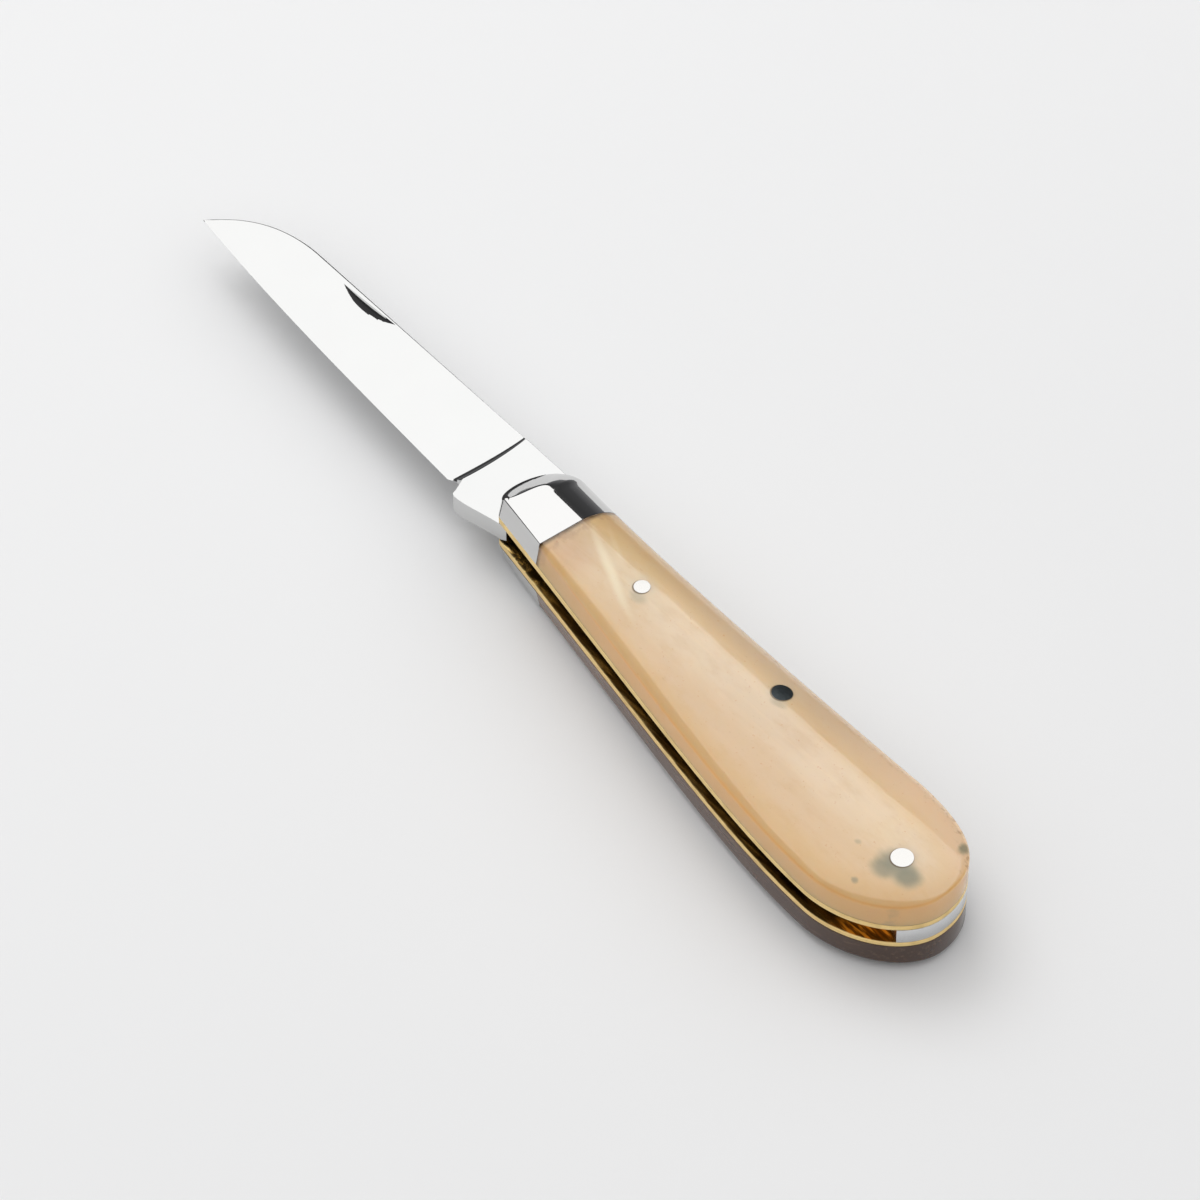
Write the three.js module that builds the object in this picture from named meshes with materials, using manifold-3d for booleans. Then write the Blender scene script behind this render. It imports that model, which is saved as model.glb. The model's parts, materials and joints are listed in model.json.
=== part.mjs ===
// A single-blade folding pocket knife, open and lying flat on one horn scale.
// It is drawn about the blade's pivot: +X runs to the butt, -X to the blade's tip, +Y to the back,
// where the spring is, -Y to the slot that the blade folds into, and +Z up through the thickness.
// The finished knife is then set down with its footprint centred on the origin. All sizes are in mm.

import * as THREE from 'three';
import * as BufferGeometryUtils from 'three/addons/utils/BufferGeometryUtils.js';
import Module from 'manifold-3d';

const wasm = await Module();
wasm.setup();

// Thickness of the knife, at the pivot
const SPRING_THICK = 3.2;          // spring, and so the gap between the liners
const LINER_THICK = 1.15;
const HALF_THICK = 6.9;            // middle of the knife to the flat of a scale
const THINNING = 0.0031;           // share of the spring and liners lost per mm towards the butt
const FRONT_FALL = 0.04;           // slope of the bolster's flat, down to the front
const FRONT_FALL_X = 16;           // where that slope starts

// Handle outline, seen from above
const BACK_Y = 7.5;                // back of the neck, and the blade's spine
const HOLLOW = 1.5;                // how far the back is drawn in behind the neck
const HUMP = { x: 66, y: 6.95 };   // fullest point of the back
const BUTT = { x: 81.1, y: -3.2 };
const BELLY = { x: 67, y: -13.8 }; // fullest point of the slot side
const LIP = { x: -3.2, y: -4.62 }; // front corner on the slot side
const SLOT_SLOPE = 0.151;          // fall of the slot side behind the lip
const FRONT_BULGE = 3.4;           // how far the rounded front stands before the lip

// Lengths of the curve handles that shape the outline between those points
const EASE = {
  slotStart: 40.3,
  slotEnd: 14.5,
  belly: 6.5,
  buttFromSlot: 6,
  buttToBack: 7.3,
  humpStart: 9,
  humpEnd: 18,
  neck: 20,
  neckFront: 5.6,
  lipFront: 1.2,
};

// Rounding of a scale and bolster, inwards from that outline
const LIP_SHOULDER = 0.8;
const FRONT_CHAMFER = 1.9;
const SLOT_SHOULDER = 3.0;
const NECK_SHOULDER = 5.3;
const NECK_SHOULDER_BEHIND = 9.3;  // the same at the neck's handle, where the horn is rounder
const BACK_SHOULDER = 7.4;
const BUTT_SHOULDER = 5.5;
const BELLY_SHOULDER = 5;

// Upright edge of a scale or bolster above its liner
const LIP_WALL = 2.0;
const SLOT_WALL = 3.0;
const SLOT_WALL_BEHIND = 3.3;
const BELLY_WALL = 3.8;
const BUTT_WALL = 4.1;
const HUMP_WALL = 2.4;
const BACK_WALL = 1.6;
const NECK_WALL_BEHIND = 0.8;
const NECK_WALL = 0.4;
const FRONT_WALL = 1.7;

// Form of the shoulder above that edge: 1 is a flat chamfer, 2 a quarter ellipse
const FACET = 1;
const ROUND = 2;

// Joint between bolster and scale, square to the handle's middle line
const BOLSTER_END_X = 6.16;
const JOINT_LEAN = 3;              // degrees
const JOINT_GAP = 0.04;

// Blade
const BLADE_LENGTH = 72.3;         // pivot to tip
const TIP_Y = -0.2;
const TIP_FACET = 0.1;             // height of the blunt end at the very tip
const SPINE_DROP_X = -56;          // where the spine turns down to the tip
const DROP_START = 9;              // curve handle at that place
const DROP_END = { x: 2.8, y: 3.7 };
const HEEL = { x: -14.8, y: -4.1 };
const HEEL_RISE = 1.3;             // length over which the edge climbs to the choil
const CHOIL_Y = -3.5;
const CHOIL_DIP = 0.05;
const EDGE_BELLY = 0.55;           // how far the cutting edge bows below the line heel to tip
const BELLY_TO_TIP = 0.4;          // how much of that bow is moved towards the tip
const PLUNGE_X = -12.9;            // where the flat grind ends
const PLUNGE_RUN = 0.6;            // length of the ramp between grind and tang
const TANG_GAP = 0.1;              // tang to liner
const SPINE_HALF = 1.3;            // half the spine's thickness at the plunge
const SPINE_HALF_TIP = 1.05;       // the same where it turns down to the tip
const EDGE_HALF = 0.06;

// Tang and the spring's nose
const TANG_FLAT = 4.0;             // pivot to each of the three flats
const TANG_ROUND = 4.9;            // radius of the corners between them
const KICK = { x: -11.45, y: -6.1 };
const KICK_ROUND = 0.7;            // rounding of the kick's front corner
const KICK_GAP = 0.08;             // kick to the spring, with the blade closed
const UNDER_START = 2.4;           // curve handles of the tang's underside behind the kick
const UNDER_END = { x: 3.3, y: 0.35 };
const NOSE_GAP = 0.05;
const NOSE_X = -1.95;              // square front end of the spring
const NOSE_STEP = 1.2;             // length of the step from the nose to the arm
const CLOSED_ANGLE = 171;          // degrees, open to closed

// Spring's inner edge
const ARM_END_X = 24;
const ARM_FALL = 0.7;              // how far the slim arm's edge drops by there
const ARM_EASE = 9;
const BOSS = 1.9;                  // metal around each pin through the spring
const BUTT_BOSS = 2.5;
const BUTT_BOSS_TURN = 1.62;       // where the butt pin's boss ends, in half turns
const SPRING_END = { x: 78.7, y: -8.6 };

// Nail nick
const NICK = { x: -45.05, y: 6.85, length: 9.9, width: 1.45, depth: 0.45, lean: 3 };

// Pins, as radii and places
const PIN_FIT = 0.04;
const PIVOT_GAP = 0.06;            // running fit of the tang on the pivot pin
const PIVOT = { x: 0, y: 0, r: 1.6 };
const SPRING_PIN = { x: 44.6, y: 2.25, r: 1.45 };
const BUTT_PIN = { x: 73.9, y: -3.7, r: 1.45 };
const SCALE_RIVET = { x: 20.1, y: -0.15, r: 1.08 };
const BOLSTER_RIVET = { x: 1.6, y: 4.6, r: 0.6 };

// Fineness
const PIN_SIDES = 32;
const SIDE_STEPS = 26;
const END_STEPS = 12;
const SHOULDER_STEPS = 6;
const BLADE_STEPS = 28;
const WELL_STEPS = 10;
const TANG_STEPS = 4;
const NICK_SIDES = 160;

const NICKEL_SILVER = { color: 0xd9d8d4, roughness: 0.1, metalness: 1 };
const POLISHED_STEEL = { color: 0xe4e6e8, roughness: 0.06, metalness: 1 };
const SPRING_STEEL = { color: 0xb9bcc0, roughness: 0.25, metalness: 1 };
const DARK_STEEL = { color: 0x35393d, roughness: 0.35, metalness: 1 };
const BRASS = { color: 0xd8b564, roughness: 0.2, metalness: 1 };
const HORN = { color: 0xd8b083, roughness: 0.12, metalness: 0 };

const knife = new THREE.Group();

function addPiece(name, geometry, finish) {
  const piece = new THREE.Mesh(geometry, new THREE.MeshStandardMaterial(finish));
  piece.name = name;
  knife.add(piece);
}

function solidOf(geometry) {
  const bare = geometry.clone();
  bare.deleteAttribute('normal');
  bare.deleteAttribute('uv');
  const merged = BufferGeometryUtils.mergeVertices(bare, 1e-4);
  const mesh = new wasm.Mesh({
    numProp: 3,
    vertProperties: new Float32Array(merged.attributes.position.array),
    triVerts: new Uint32Array(merged.index.array),
  });
  return new wasm.Manifold(mesh);
}

function geometryOf(solid) {
  const mesh = solid.getMesh();
  const geometry = new THREE.BufferGeometry();
  geometry.setAttribute('position', new THREE.BufferAttribute(new Float32Array(mesh.vertProperties), 3));
  geometry.setIndex(new THREE.BufferAttribute(new Uint32Array(mesh.triVerts), 1));
  return geometry;
}

function indexedGeometry(positions, triangles) {
  const geometry = new THREE.BufferGeometry();
  geometry.setAttribute('position', new THREE.Float32BufferAttribute(positions, 3));
  geometry.setIndex(triangles);
  return geometry;
}

// Seen in the knife's middle plane: the same shape on the other side
function mirrored(geometry) {
  const other = geometry.clone();
  const places = other.attributes.position;
  for (let i = 0; i < places.count; i += 1) {
    places.setZ(i, -places.getZ(i));
  }
  const index = other.index.array;
  for (let i = 0; i < index.length; i += 3) {
    const second = index[i + 1];
    index[i + 1] = index[i + 2];
    index[i + 2] = second;
  }
  return other;
}

function box(low, high) {
  const geometry = new THREE.BoxGeometry(high[0] - low[0], high[1] - low[1], high[2] - low[2]);
  geometry.translate((low[0] + high[0]) / 2, (low[1] + high[1]) / 2, (low[2] + high[2]) / 2);
  return geometry;
}

function upright(place, radius, low, high) {
  const rod = new THREE.CylinderGeometry(radius, radius, high - low, PIN_SIDES);
  rod.rotateX(Math.PI / 2);
  rod.translate(place.x, place.y, (low + high) / 2);
  return rod;
}

// Arcs take twice the steps that other curves take
function slab(shape, low, high, steps) {
  const plate = new THREE.ExtrudeGeometry(shape, { depth: high - low, bevelEnabled: false, curveSegments: steps });
  plate.translate(0, 0, low);
  return plate;
}

// The spring and the liners grow thinner from the pivot to the butt
function thinned(geometry) {
  const places = geometry.attributes.position;
  for (let i = 0; i < places.count; i += 1) {
    places.setZ(i, places.getZ(i) * thinness(places.getX(i)));
  }
  return geometry;
}

function thinness(x) {
  return 1 - THINNING * x;
}

const SPRING_HALF = SPRING_THICK / 2;
const LINER_TOP = SPRING_HALF + LINER_THICK;
const BEYOND = 2 * HALF_THICK;
const FAR = 2 * BUTT.x;

// A stop on the handle's outline: its place, how far in the flat of the scale starts there,
// the upright wall and the shoulder's form
function stop(x, y, inX, inY, wall, form) {
  return { x, y, inX, inY, wall, form };
}

const frontX = LIP.x - FRONT_BULGE;
const slotStartY = LIP.y - EASE.slotStart * SLOT_SLOPE;

const lip = stop(LIP.x, LIP.y, 0, LIP_SHOULDER, LIP_WALL, FACET);
const slotStart = stop(LIP.x + EASE.slotStart, slotStartY, 0, SLOT_SHOULDER, SLOT_WALL, ROUND);
const slotEnd = stop(BELLY.x - EASE.slotEnd, BELLY.y, 0, BELLY_SHOULDER, SLOT_WALL_BEHIND, ROUND);
const belly = stop(BELLY.x, BELLY.y, -1, BELLY_SHOULDER, BELLY_WALL, ROUND);
const bellyEnd = stop(BELLY.x + EASE.belly, BELLY.y, -3, BELLY_SHOULDER, BELLY_WALL, ROUND);
const buttStart = stop(BUTT.x, BUTT.y - EASE.buttFromSlot, -BUTT_SHOULDER, 2.2, BUTT_WALL, ROUND);
const butt = stop(BUTT.x, BUTT.y, -BUTT_SHOULDER, 0, BUTT_WALL, ROUND);
const buttEnd = stop(BUTT.x, BUTT.y + EASE.buttToBack, -BUTT_SHOULDER, -4.7, BUTT_WALL, ROUND);
const humpStart = stop(HUMP.x + EASE.humpStart, HUMP.y, -5, 1 - BACK_SHOULDER, HUMP_WALL, ROUND);
const hump = stop(HUMP.x, HUMP.y, -2, -BACK_SHOULDER, HUMP_WALL, ROUND);
const humpEnd = stop(HUMP.x - EASE.humpEnd, HUMP.y - 0.3, 0, -BACK_SHOULDER, BACK_WALL, ROUND);
const neckStart = stop(EASE.neck, BACK_Y - HOLLOW, 0, -NECK_SHOULDER_BEHIND, NECK_WALL_BEHIND, ROUND);
const neck = stop(0, BACK_Y, 0, -NECK_SHOULDER, NECK_WALL, ROUND);
const neckEnd = stop(-EASE.neckFront, BACK_Y, FRONT_CHAMFER - 0.3, -2.7, FRONT_WALL, FACET);
const frontEnd = stop(frontX, LIP.y + EASE.lipFront, FRONT_CHAMFER + 1.3, 1.9, FRONT_WALL, FACET);

function between(a, b, c, d, steps) {
  const points = [];
  for (let i = 0; i < steps; i += 1) {
    const t = i / steps;
    const weights = [(1 - t) ** 3, 3 * t * (1 - t) ** 2, 3 * t * t * (1 - t), t ** 3];
    const point = {};
    for (const key of Object.keys(a)) {
      point[key] = a[key] * weights[0] + b[key] * weights[1] + c[key] * weights[2] + d[key] * weights[3];
    }
    points.push(point);
  }
  return points;
}

// Anticlockwise seen from above, from the lip along the slot, round the butt and back to the front
const outline = [
  ...between(lip, slotStart, slotEnd, belly, SIDE_STEPS),
  ...between(belly, bellyEnd, buttStart, butt, END_STEPS),
  ...between(butt, buttEnd, humpStart, hump, END_STEPS),
  ...between(hump, humpEnd, neckStart, neck, SIDE_STEPS),
  ...between(neck, neckEnd, frontEnd, lip, END_STEPS),
];

function outlineShape() {
  return new THREE.Shape(outline.map((p) => new THREE.Vector2(p.x, p.y)));
}

// The solid outside one liner: upright walls, rounded or chamfered shoulders and a flat
function sideSolid() {
  const rings = [outline.map((p) => [p.x, p.y, LINER_TOP * thinness(p.x)])];
  for (let k = 0; k <= SHOULDER_STEPS; k += 1) {
    const turn = (Math.PI / 2) * (k / SHOULDER_STEPS);
    const inward = 1 - Math.cos(turn);
    rings.push(outline.map((p) => {
      const foot = LINER_TOP * thinness(p.x) + p.wall;
      const rise = (1 - (1 - inward) ** p.form) ** (1 / p.form);
      return [p.x + p.inX * inward, p.y + p.inY * inward, foot + (HALF_THICK - foot) * rise];
    }));
  }
  const count = outline.length;
  const positions = rings.flat(2);
  const triangles = [];
  for (let k = 0; k + 1 < rings.length; k += 1) {
    for (let i = 0; i < count; i += 1) {
      const here = k * count + i;
      const next = k * count + ((i + 1) % count);
      triangles.push(here, next, next + count, here, next + count, here + count);
    }
  }
  const lastRing = (rings.length - 1) * count;
  for (const face of capFaces(rings[0])) {
    triangles.push(face[0], face[2], face[1]);
  }
  for (const face of capFaces(rings[rings.length - 1])) {
    triangles.push(lastRing + face[0], lastRing + face[1], lastRing + face[2]);
  }
  return indexedGeometry(positions, triangles);
}

function capFaces(ring) {
  return THREE.ShapeUtils.triangulateShape(ring.map((p) => new THREE.Vector2(p[0], p[1])), []);
}

// The flat slopes down over the bolster
function frontSlope() {
  const wedge = box([-FAR, -FAR, 0], [0, FAR, FAR]);
  wedge.rotateY(-Math.atan(FRONT_FALL));
  wedge.translate(FRONT_FALL_X, 0, HALF_THICK);
  return solidOf(wedge);
}

function bored(solid, place, radius) {
  return solid.subtract(solidOf(upright(place, radius, -BEYOND, BEYOND)));
}

// All that lies before or behind the joint of bolster and scale
function jointBlock(lowX, highX) {
  const block = box([lowX, -FAR, -BEYOND], [highX, FAR, BEYOND]);
  block.rotateZ(-THREE.MathUtils.degToRad(JOINT_LEAN));
  block.translate(BOLSTER_END_X, 0, 0);
  return solidOf(block);
}

const side = solidOf(sideSolid()).subtract(frontSlope());

let bolster = side.intersect(jointBlock(-FAR, 0));
bolster = bored(bolster, PIVOT, PIVOT.r + PIN_FIT);
bolster = bored(bolster, BOLSTER_RIVET, BOLSTER_RIVET.r + PIN_FIT);

let scale = side.intersect(jointBlock(JOINT_GAP, FAR));
for (const pin of [SPRING_PIN, BUTT_PIN, SCALE_RIVET]) {
  scale = bored(scale, pin, pin.r + PIN_FIT);
}

function liner() {
  const shape = outlineShape();
  for (const pin of [PIVOT, BOLSTER_RIVET, SCALE_RIVET, SPRING_PIN, BUTT_PIN]) {
    const hole = new THREE.Path();
    hole.absarc(pin.x, pin.y, pin.r + PIN_FIT, 0, 2 * Math.PI, true);
    shape.holes.push(hole);
  }
  return geometryOf(solidOf(thinned(slab(shape, SPRING_HALF, LINER_TOP, PIN_SIDES / 2))));
}

// Every pin is dressed flush with the scales or bolsters that it ends in
const bothSides = side.add(solidOf(mirrored(geometryOf(side))));

function flushPin(pin, low, high) {
  const base = LINER_TOP * thinness(pin.x) + PIN_FIT;
  const middle = box([pin.x - BEYOND, pin.y - BEYOND, -base], [pin.x + BEYOND, pin.y + BEYOND, base]);
  const rod = solidOf(upright(pin, pin.r, low, high));
  return geometryOf(rod.intersect(bothSides.add(solidOf(middle))));
}

// Underside of the tang, from the kick to the flat that the spring bears on when the blade is closed
const closed = THREE.MathUtils.degToRad(CLOSED_ANGLE);
const flatReach = Math.sqrt(TANG_ROUND ** 2 - TANG_FLAT ** 2);
const closedFlat = new THREE.Vector2(-flatReach, TANG_FLAT).rotateAround(new THREE.Vector2(), -closed);
const closedFlatStart = new THREE.Vector2(flatReach, TANG_FLAT).rotateAround(new THREE.Vector2(), -closed);
const kickFoot = new THREE.Vector2(KICK.x + KICK_ROUND, KICK.y);
const underside = new THREE.CubicBezierCurve(
  kickFoot,
  new THREE.Vector2(kickFoot.x + UNDER_START, kickFoot.y),
  new THREE.Vector2(closedFlatStart.x - UNDER_END.x, closedFlatStart.y - UNDER_END.y),
  closedFlatStart,
);

// The closed blade stops with that underside just short of the spring's arm
const kickRise = Math.max(...underside.getPoints(TANG_STEPS * 2).map((p) => (
  p.x * Math.sin(closed) + p.y * Math.cos(closed)
)));
const armY = kickRise + KICK_GAP;

// Spring: the knife's back, from the square nose over the tang round the butt to the slot
function spring() {
  const noseY = TANG_FLAT + NOSE_GAP;
  const back = solidOf(slab(outlineShape(), -SPRING_HALF, SPRING_HALF, 1));
  const nose = solidOf(box([NOSE_X, noseY, -SPRING_HALF], [NOSE_STEP, BACK_Y, SPRING_HALF]));
  const pinLow = SPRING_PIN.y - SPRING_PIN.r - BOSS;
  const armEndY = armY - ARM_FALL;
  const buttBoss = BUTT_PIN.r + BUTT_BOSS;
  const buttBossX = BUTT_PIN.x - buttBoss;
  const well = new THREE.Shape();
  well.moveTo(-BEYOND, BEYOND);
  well.lineTo(NOSE_X, BEYOND);
  well.lineTo(NOSE_X, noseY);
  well.lineTo(TANG_ROUND, noseY);
  well.lineTo(TANG_ROUND + NOSE_STEP, armY);
  well.bezierCurveTo(
    TANG_ROUND + ARM_EASE, armY,
    ARM_END_X - ARM_EASE / 2, armEndY + ARM_FALL / 3,
    ARM_END_X, armEndY,
  );
  well.bezierCurveTo(
    ARM_END_X + ARM_EASE, armEndY - ARM_FALL,
    SPRING_PIN.x - ARM_EASE, pinLow,
    SPRING_PIN.x, pinLow,
  );
  well.bezierCurveTo(
    SPRING_PIN.x + ARM_EASE, pinLow,
    buttBossX - BOSS, pinLow,
    buttBossX, BUTT_PIN.y,
  );
  well.absarc(BUTT_PIN.x, BUTT_PIN.y, buttBoss, Math.PI, Math.PI * BUTT_BOSS_TURN, false);
  well.lineTo(SPRING_END.x, SPRING_END.y);
  well.lineTo(SPRING_END.x + BEYOND, SPRING_END.y - BEYOND);
  well.lineTo(BUTT.x, -FAR);
  well.lineTo(-BEYOND, -FAR);
  const cut = solidOf(slab(well, -BEYOND, BEYOND, WELL_STEPS));
  let bar = back.add(nose).subtract(cut);
  for (const pin of [SPRING_PIN, BUTT_PIN]) {
    bar = bored(bar, pin, pin.r + PIN_FIT);
  }
  return thinned(geometryOf(bar));
}

// Blade: spine and edge as curves of x
const TIP = { x: -BLADE_LENGTH, y: TIP_Y };
const spineCurve = new THREE.CubicBezierCurve(
  new THREE.Vector2(SPINE_DROP_X, BACK_Y),
  new THREE.Vector2(SPINE_DROP_X - DROP_START, BACK_Y),
  new THREE.Vector2(TIP.x + DROP_END.x, TIP.y + DROP_END.y),
  new THREE.Vector2(TIP.x, TIP.y + TIP_FACET),
);

function edgeY(x) {
  const t = Math.max(0, (x - HEEL.x) / (TIP.x - HEEL.x));
  const bow = EDGE_BELLY * 4 * t * (1 - t) * (1 + BELLY_TO_TIP * (2 * t - 1));
  return HEEL.y + (TIP.y - HEEL.y) * t - bow;
}

// Half the blade's thickness: a flat wedge from the spine to the edge
function halfThick(x, y) {
  const along = THREE.MathUtils.clamp((x - PLUNGE_X) / (SPINE_DROP_X - PLUNGE_X), 0, 1);
  const spine = THREE.MathUtils.lerp(SPINE_HALF, SPINE_HALF_TIP, along);
  const low = edgeY(x);
  const share = Math.max(0, (y - low) / (BACK_Y - low));
  return THREE.MathUtils.lerp(EDGE_HALF, spine, share);
}

const TANG_HALF = SPRING_HALF - TANG_GAP;
const tangStart = PLUNGE_X + PLUNGE_RUN;

function bladeStations() {
  const stations = [
    { x: PLUNGE_X, top: BACK_Y, low: CHOIL_Y },
    { x: HEEL.x + HEEL_RISE, top: BACK_Y, low: CHOIL_Y + CHOIL_DIP },
    { x: HEEL.x, top: BACK_Y, low: HEEL.y },
  ];
  const straight = BLADE_STEPS / 2;
  for (let i = 1; i <= straight; i += 1) {
    const x = HEEL.x + (SPINE_DROP_X - HEEL.x) * (i / straight);
    stations.push({ x, top: BACK_Y, low: edgeY(x) });
  }
  for (let i = 1; i <= BLADE_STEPS; i += 1) {
    const point = spineCurve.getPoint(i / BLADE_STEPS);
    stations.push({ x: point.x, top: point.y, low: edgeY(point.x) });
  }
  return stations;
}

// The ground blade, a loft of four-cornered sections that ends in a tiny blunt tip
function groundBlade() {
  const sections = bladeStations().map((s) => ({
    ...s,
    topHalf: halfThick(s.x, s.top),
    lowHalf: halfThick(s.x, s.low),
  }));
  sections.unshift({ x: tangStart, top: BACK_Y, low: CHOIL_Y, topHalf: TANG_HALF, lowHalf: TANG_HALF });
  const positions = [];
  const triangles = [];
  for (const s of sections) {
    positions.push(s.x, s.top, s.topHalf, s.x, s.low, s.lowHalf);
    positions.push(s.x, s.low, -s.lowHalf, s.x, s.top, -s.topHalf);
  }
  for (let i = 0; i + 1 < sections.length; i += 1) {
    for (let corner = 0; corner < 4; corner += 1) {
      const a = i * 4 + corner;
      const b = i * 4 + ((corner + 1) % 4);
      triangles.push(a, a + 4, b + 4, a, b + 4, b);
    }
  }
  const end = (sections.length - 1) * 4;
  triangles.push(0, 1, 2, 0, 2, 3, end, end + 2, end + 1, end, end + 3, end + 2);
  return indexedGeometry(positions, triangles);
}

// Tang: a flat each for open, half-way and closed, a shoulder for the spring's nose,
// and the kick that stops the closed blade
function tangShape() {
  const corner = Math.atan2(flatReach, TANG_FLAT);
  const closedFlatTurn = Math.PI / 2 - closed;
  const shoulderX = NOSE_X - NOSE_GAP;
  const shape = new THREE.Shape();
  shape.moveTo(tangStart, BACK_Y);
  shape.lineTo(tangStart, CHOIL_Y);
  shape.lineTo(KICK.x, KICK.y + KICK_ROUND);
  shape.quadraticCurveTo(KICK.x, KICK.y, kickFoot.x, kickFoot.y);
  shape.bezierCurveTo(
    underside.v1.x, underside.v1.y,
    underside.v2.x, underside.v2.y,
    underside.v3.x, underside.v3.y,
  );
  shape.lineTo(closedFlat.x, closedFlat.y);
  shape.absarc(0, 0, TANG_ROUND, closedFlatTurn + corner, -corner, false);
  shape.absarc(0, 0, TANG_ROUND, corner, Math.PI / 2 - corner, false);
  shape.lineTo(shoulderX, TANG_FLAT);
  shape.lineTo(shoulderX, BACK_Y);
  return shape;
}

// The nick is the mark of a dished cutter: straight on the spine's side, curved on the edge's
function nickCutter() {
  const half = NICK.length / 2;
  const radius = (half ** 2 + NICK.depth ** 2) / (2 * NICK.depth);
  const slope = NICK.depth / NICK.width;
  const height = NICK.width * 2;
  const cutter = new THREE.CylinderGeometry(radius, radius - slope * height, height, NICK_SIDES);
  cutter.translate(0, -height / 2, 0);
  cutter.rotateZ(THREE.MathUtils.degToRad(NICK.lean));
  cutter.translate(NICK.x, NICK.y, halfThick(NICK.x, NICK.y) - NICK.depth + radius);
  return cutter;
}

function blade() {
  const tang = solidOf(slab(tangShape(), -TANG_HALF, TANG_HALF, TANG_STEPS));
  const steel = bored(tang.add(solidOf(groundBlade())), PIVOT, PIVOT.r + PIVOT_GAP);
  return geometryOf(steel.subtract(solidOf(nickCutter())));
}

const linerPlate = liner();
const bolsterPiece = geometryOf(bolster);
const scalePiece = geometryOf(scale);
const linerBase = (pin) => SPRING_HALF * thinness(pin.x + pin.r) + PIN_FIT;

addPiece('blade', blade(), POLISHED_STEEL);
addPiece('backspring', spring(), SPRING_STEEL);
addPiece('top_liner', linerPlate, BRASS);
addPiece('bottom_liner', mirrored(linerPlate), BRASS);
addPiece('top_bolster', bolsterPiece, NICKEL_SILVER);
addPiece('bottom_bolster', mirrored(bolsterPiece), NICKEL_SILVER);
addPiece('top_scale', scalePiece, HORN);
addPiece('bottom_scale', mirrored(scalePiece), HORN);
addPiece('pivot_pin', flushPin(PIVOT, -BEYOND, BEYOND), NICKEL_SILVER);
addPiece('spring_pin', flushPin(SPRING_PIN, -BEYOND, BEYOND), DARK_STEEL);
addPiece('butt_pin', flushPin(BUTT_PIN, -BEYOND, BEYOND), NICKEL_SILVER);

for (const [rivet, name] of [[SCALE_RIVET, 'scale_rivet'], [BOLSTER_RIVET, 'bolster_rivet']]) {
  const short = flushPin(rivet, linerBase(rivet), BEYOND);
  addPiece(`top_${name}`, short, NICKEL_SILVER);
  addPiece(`bottom_${name}`, mirrored(short), NICKEL_SILVER);
}

const bounds = new THREE.Box3().setFromObject(knife);
knife.position.set(
  -(bounds.min.x + bounds.max.x) / 2,
  -(bounds.min.y + bounds.max.y) / 2,
  -bounds.min.z,
);

export default knife;
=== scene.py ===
"""A single-blade folding pocket knife with horn scales, lying open on a pale floor."""

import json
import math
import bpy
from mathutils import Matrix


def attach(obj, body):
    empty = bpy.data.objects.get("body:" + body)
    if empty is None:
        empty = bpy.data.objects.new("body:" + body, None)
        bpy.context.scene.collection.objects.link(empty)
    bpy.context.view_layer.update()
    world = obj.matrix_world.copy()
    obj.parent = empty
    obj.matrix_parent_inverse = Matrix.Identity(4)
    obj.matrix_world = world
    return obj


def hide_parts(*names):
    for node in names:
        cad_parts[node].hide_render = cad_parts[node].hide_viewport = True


bl_info = {
    "name": "Folding Pocket Knife",
    "version": (1, 0, 0),
    "blender": (4, 5, 0),
    "location": "3D Viewport > Sidebar > Knife",
    "description": "Dresses an open pocket knife in horn, brass, nickel silver and polished steel",
    "category": "Object",
}

from contextlib import contextmanager

import bmesh
import bpy
from mathutils import Matrix, Quaternion, Vector
from mathutils.bvhtree import BVHTree

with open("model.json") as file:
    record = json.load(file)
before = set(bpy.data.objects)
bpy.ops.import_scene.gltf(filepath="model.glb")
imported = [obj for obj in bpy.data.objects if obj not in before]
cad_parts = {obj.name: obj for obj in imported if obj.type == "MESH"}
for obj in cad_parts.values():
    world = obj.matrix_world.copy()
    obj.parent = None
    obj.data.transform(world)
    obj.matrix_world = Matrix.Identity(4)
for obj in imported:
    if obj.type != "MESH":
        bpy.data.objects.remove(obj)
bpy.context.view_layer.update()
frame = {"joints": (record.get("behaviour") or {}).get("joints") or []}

HINGE = Vector(frame["joints"][0]["pos_m"])
MM = 0.001
SAW_FINE = 1e-8              # in metres: points this close to a cut already lie on it
MERGE_FINE = 2e-7            # and points this close together are one

# Shapes are drawn in mm about the blade's pivot, with z = 0 in the middle of the knife:
# +x runs to the butt, -x to the tip, +y to the back and -y to the slot.
SPRING_HALF = 1.6            # half the spring's thickness, where the liners begin
LINER_TOP = 2.75
HALF_THICK = 6.9
FLAT_HEIGHT = 6.87           # of the scales' flat, just below the pins' heads
THINNING = 0.0031            # share that the inner pieces lose in thickness per mm towards the butt
BACK_Y = 7.5
FRONT_FALL = 0.0345          # slope of the flat over the bolster
FRONT_FALL_X = 19.5          # where it begins
FALL_EASE = 5.0              # and how far it is eased in on either side
BOLSTER_END_X = 6.16
JOINT_LEAN = math.radians(3)
JOINT_GAP = 0.08             # between bolster and scale
BEYOND = 40.0                # a reach that ends well outside the knife

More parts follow.
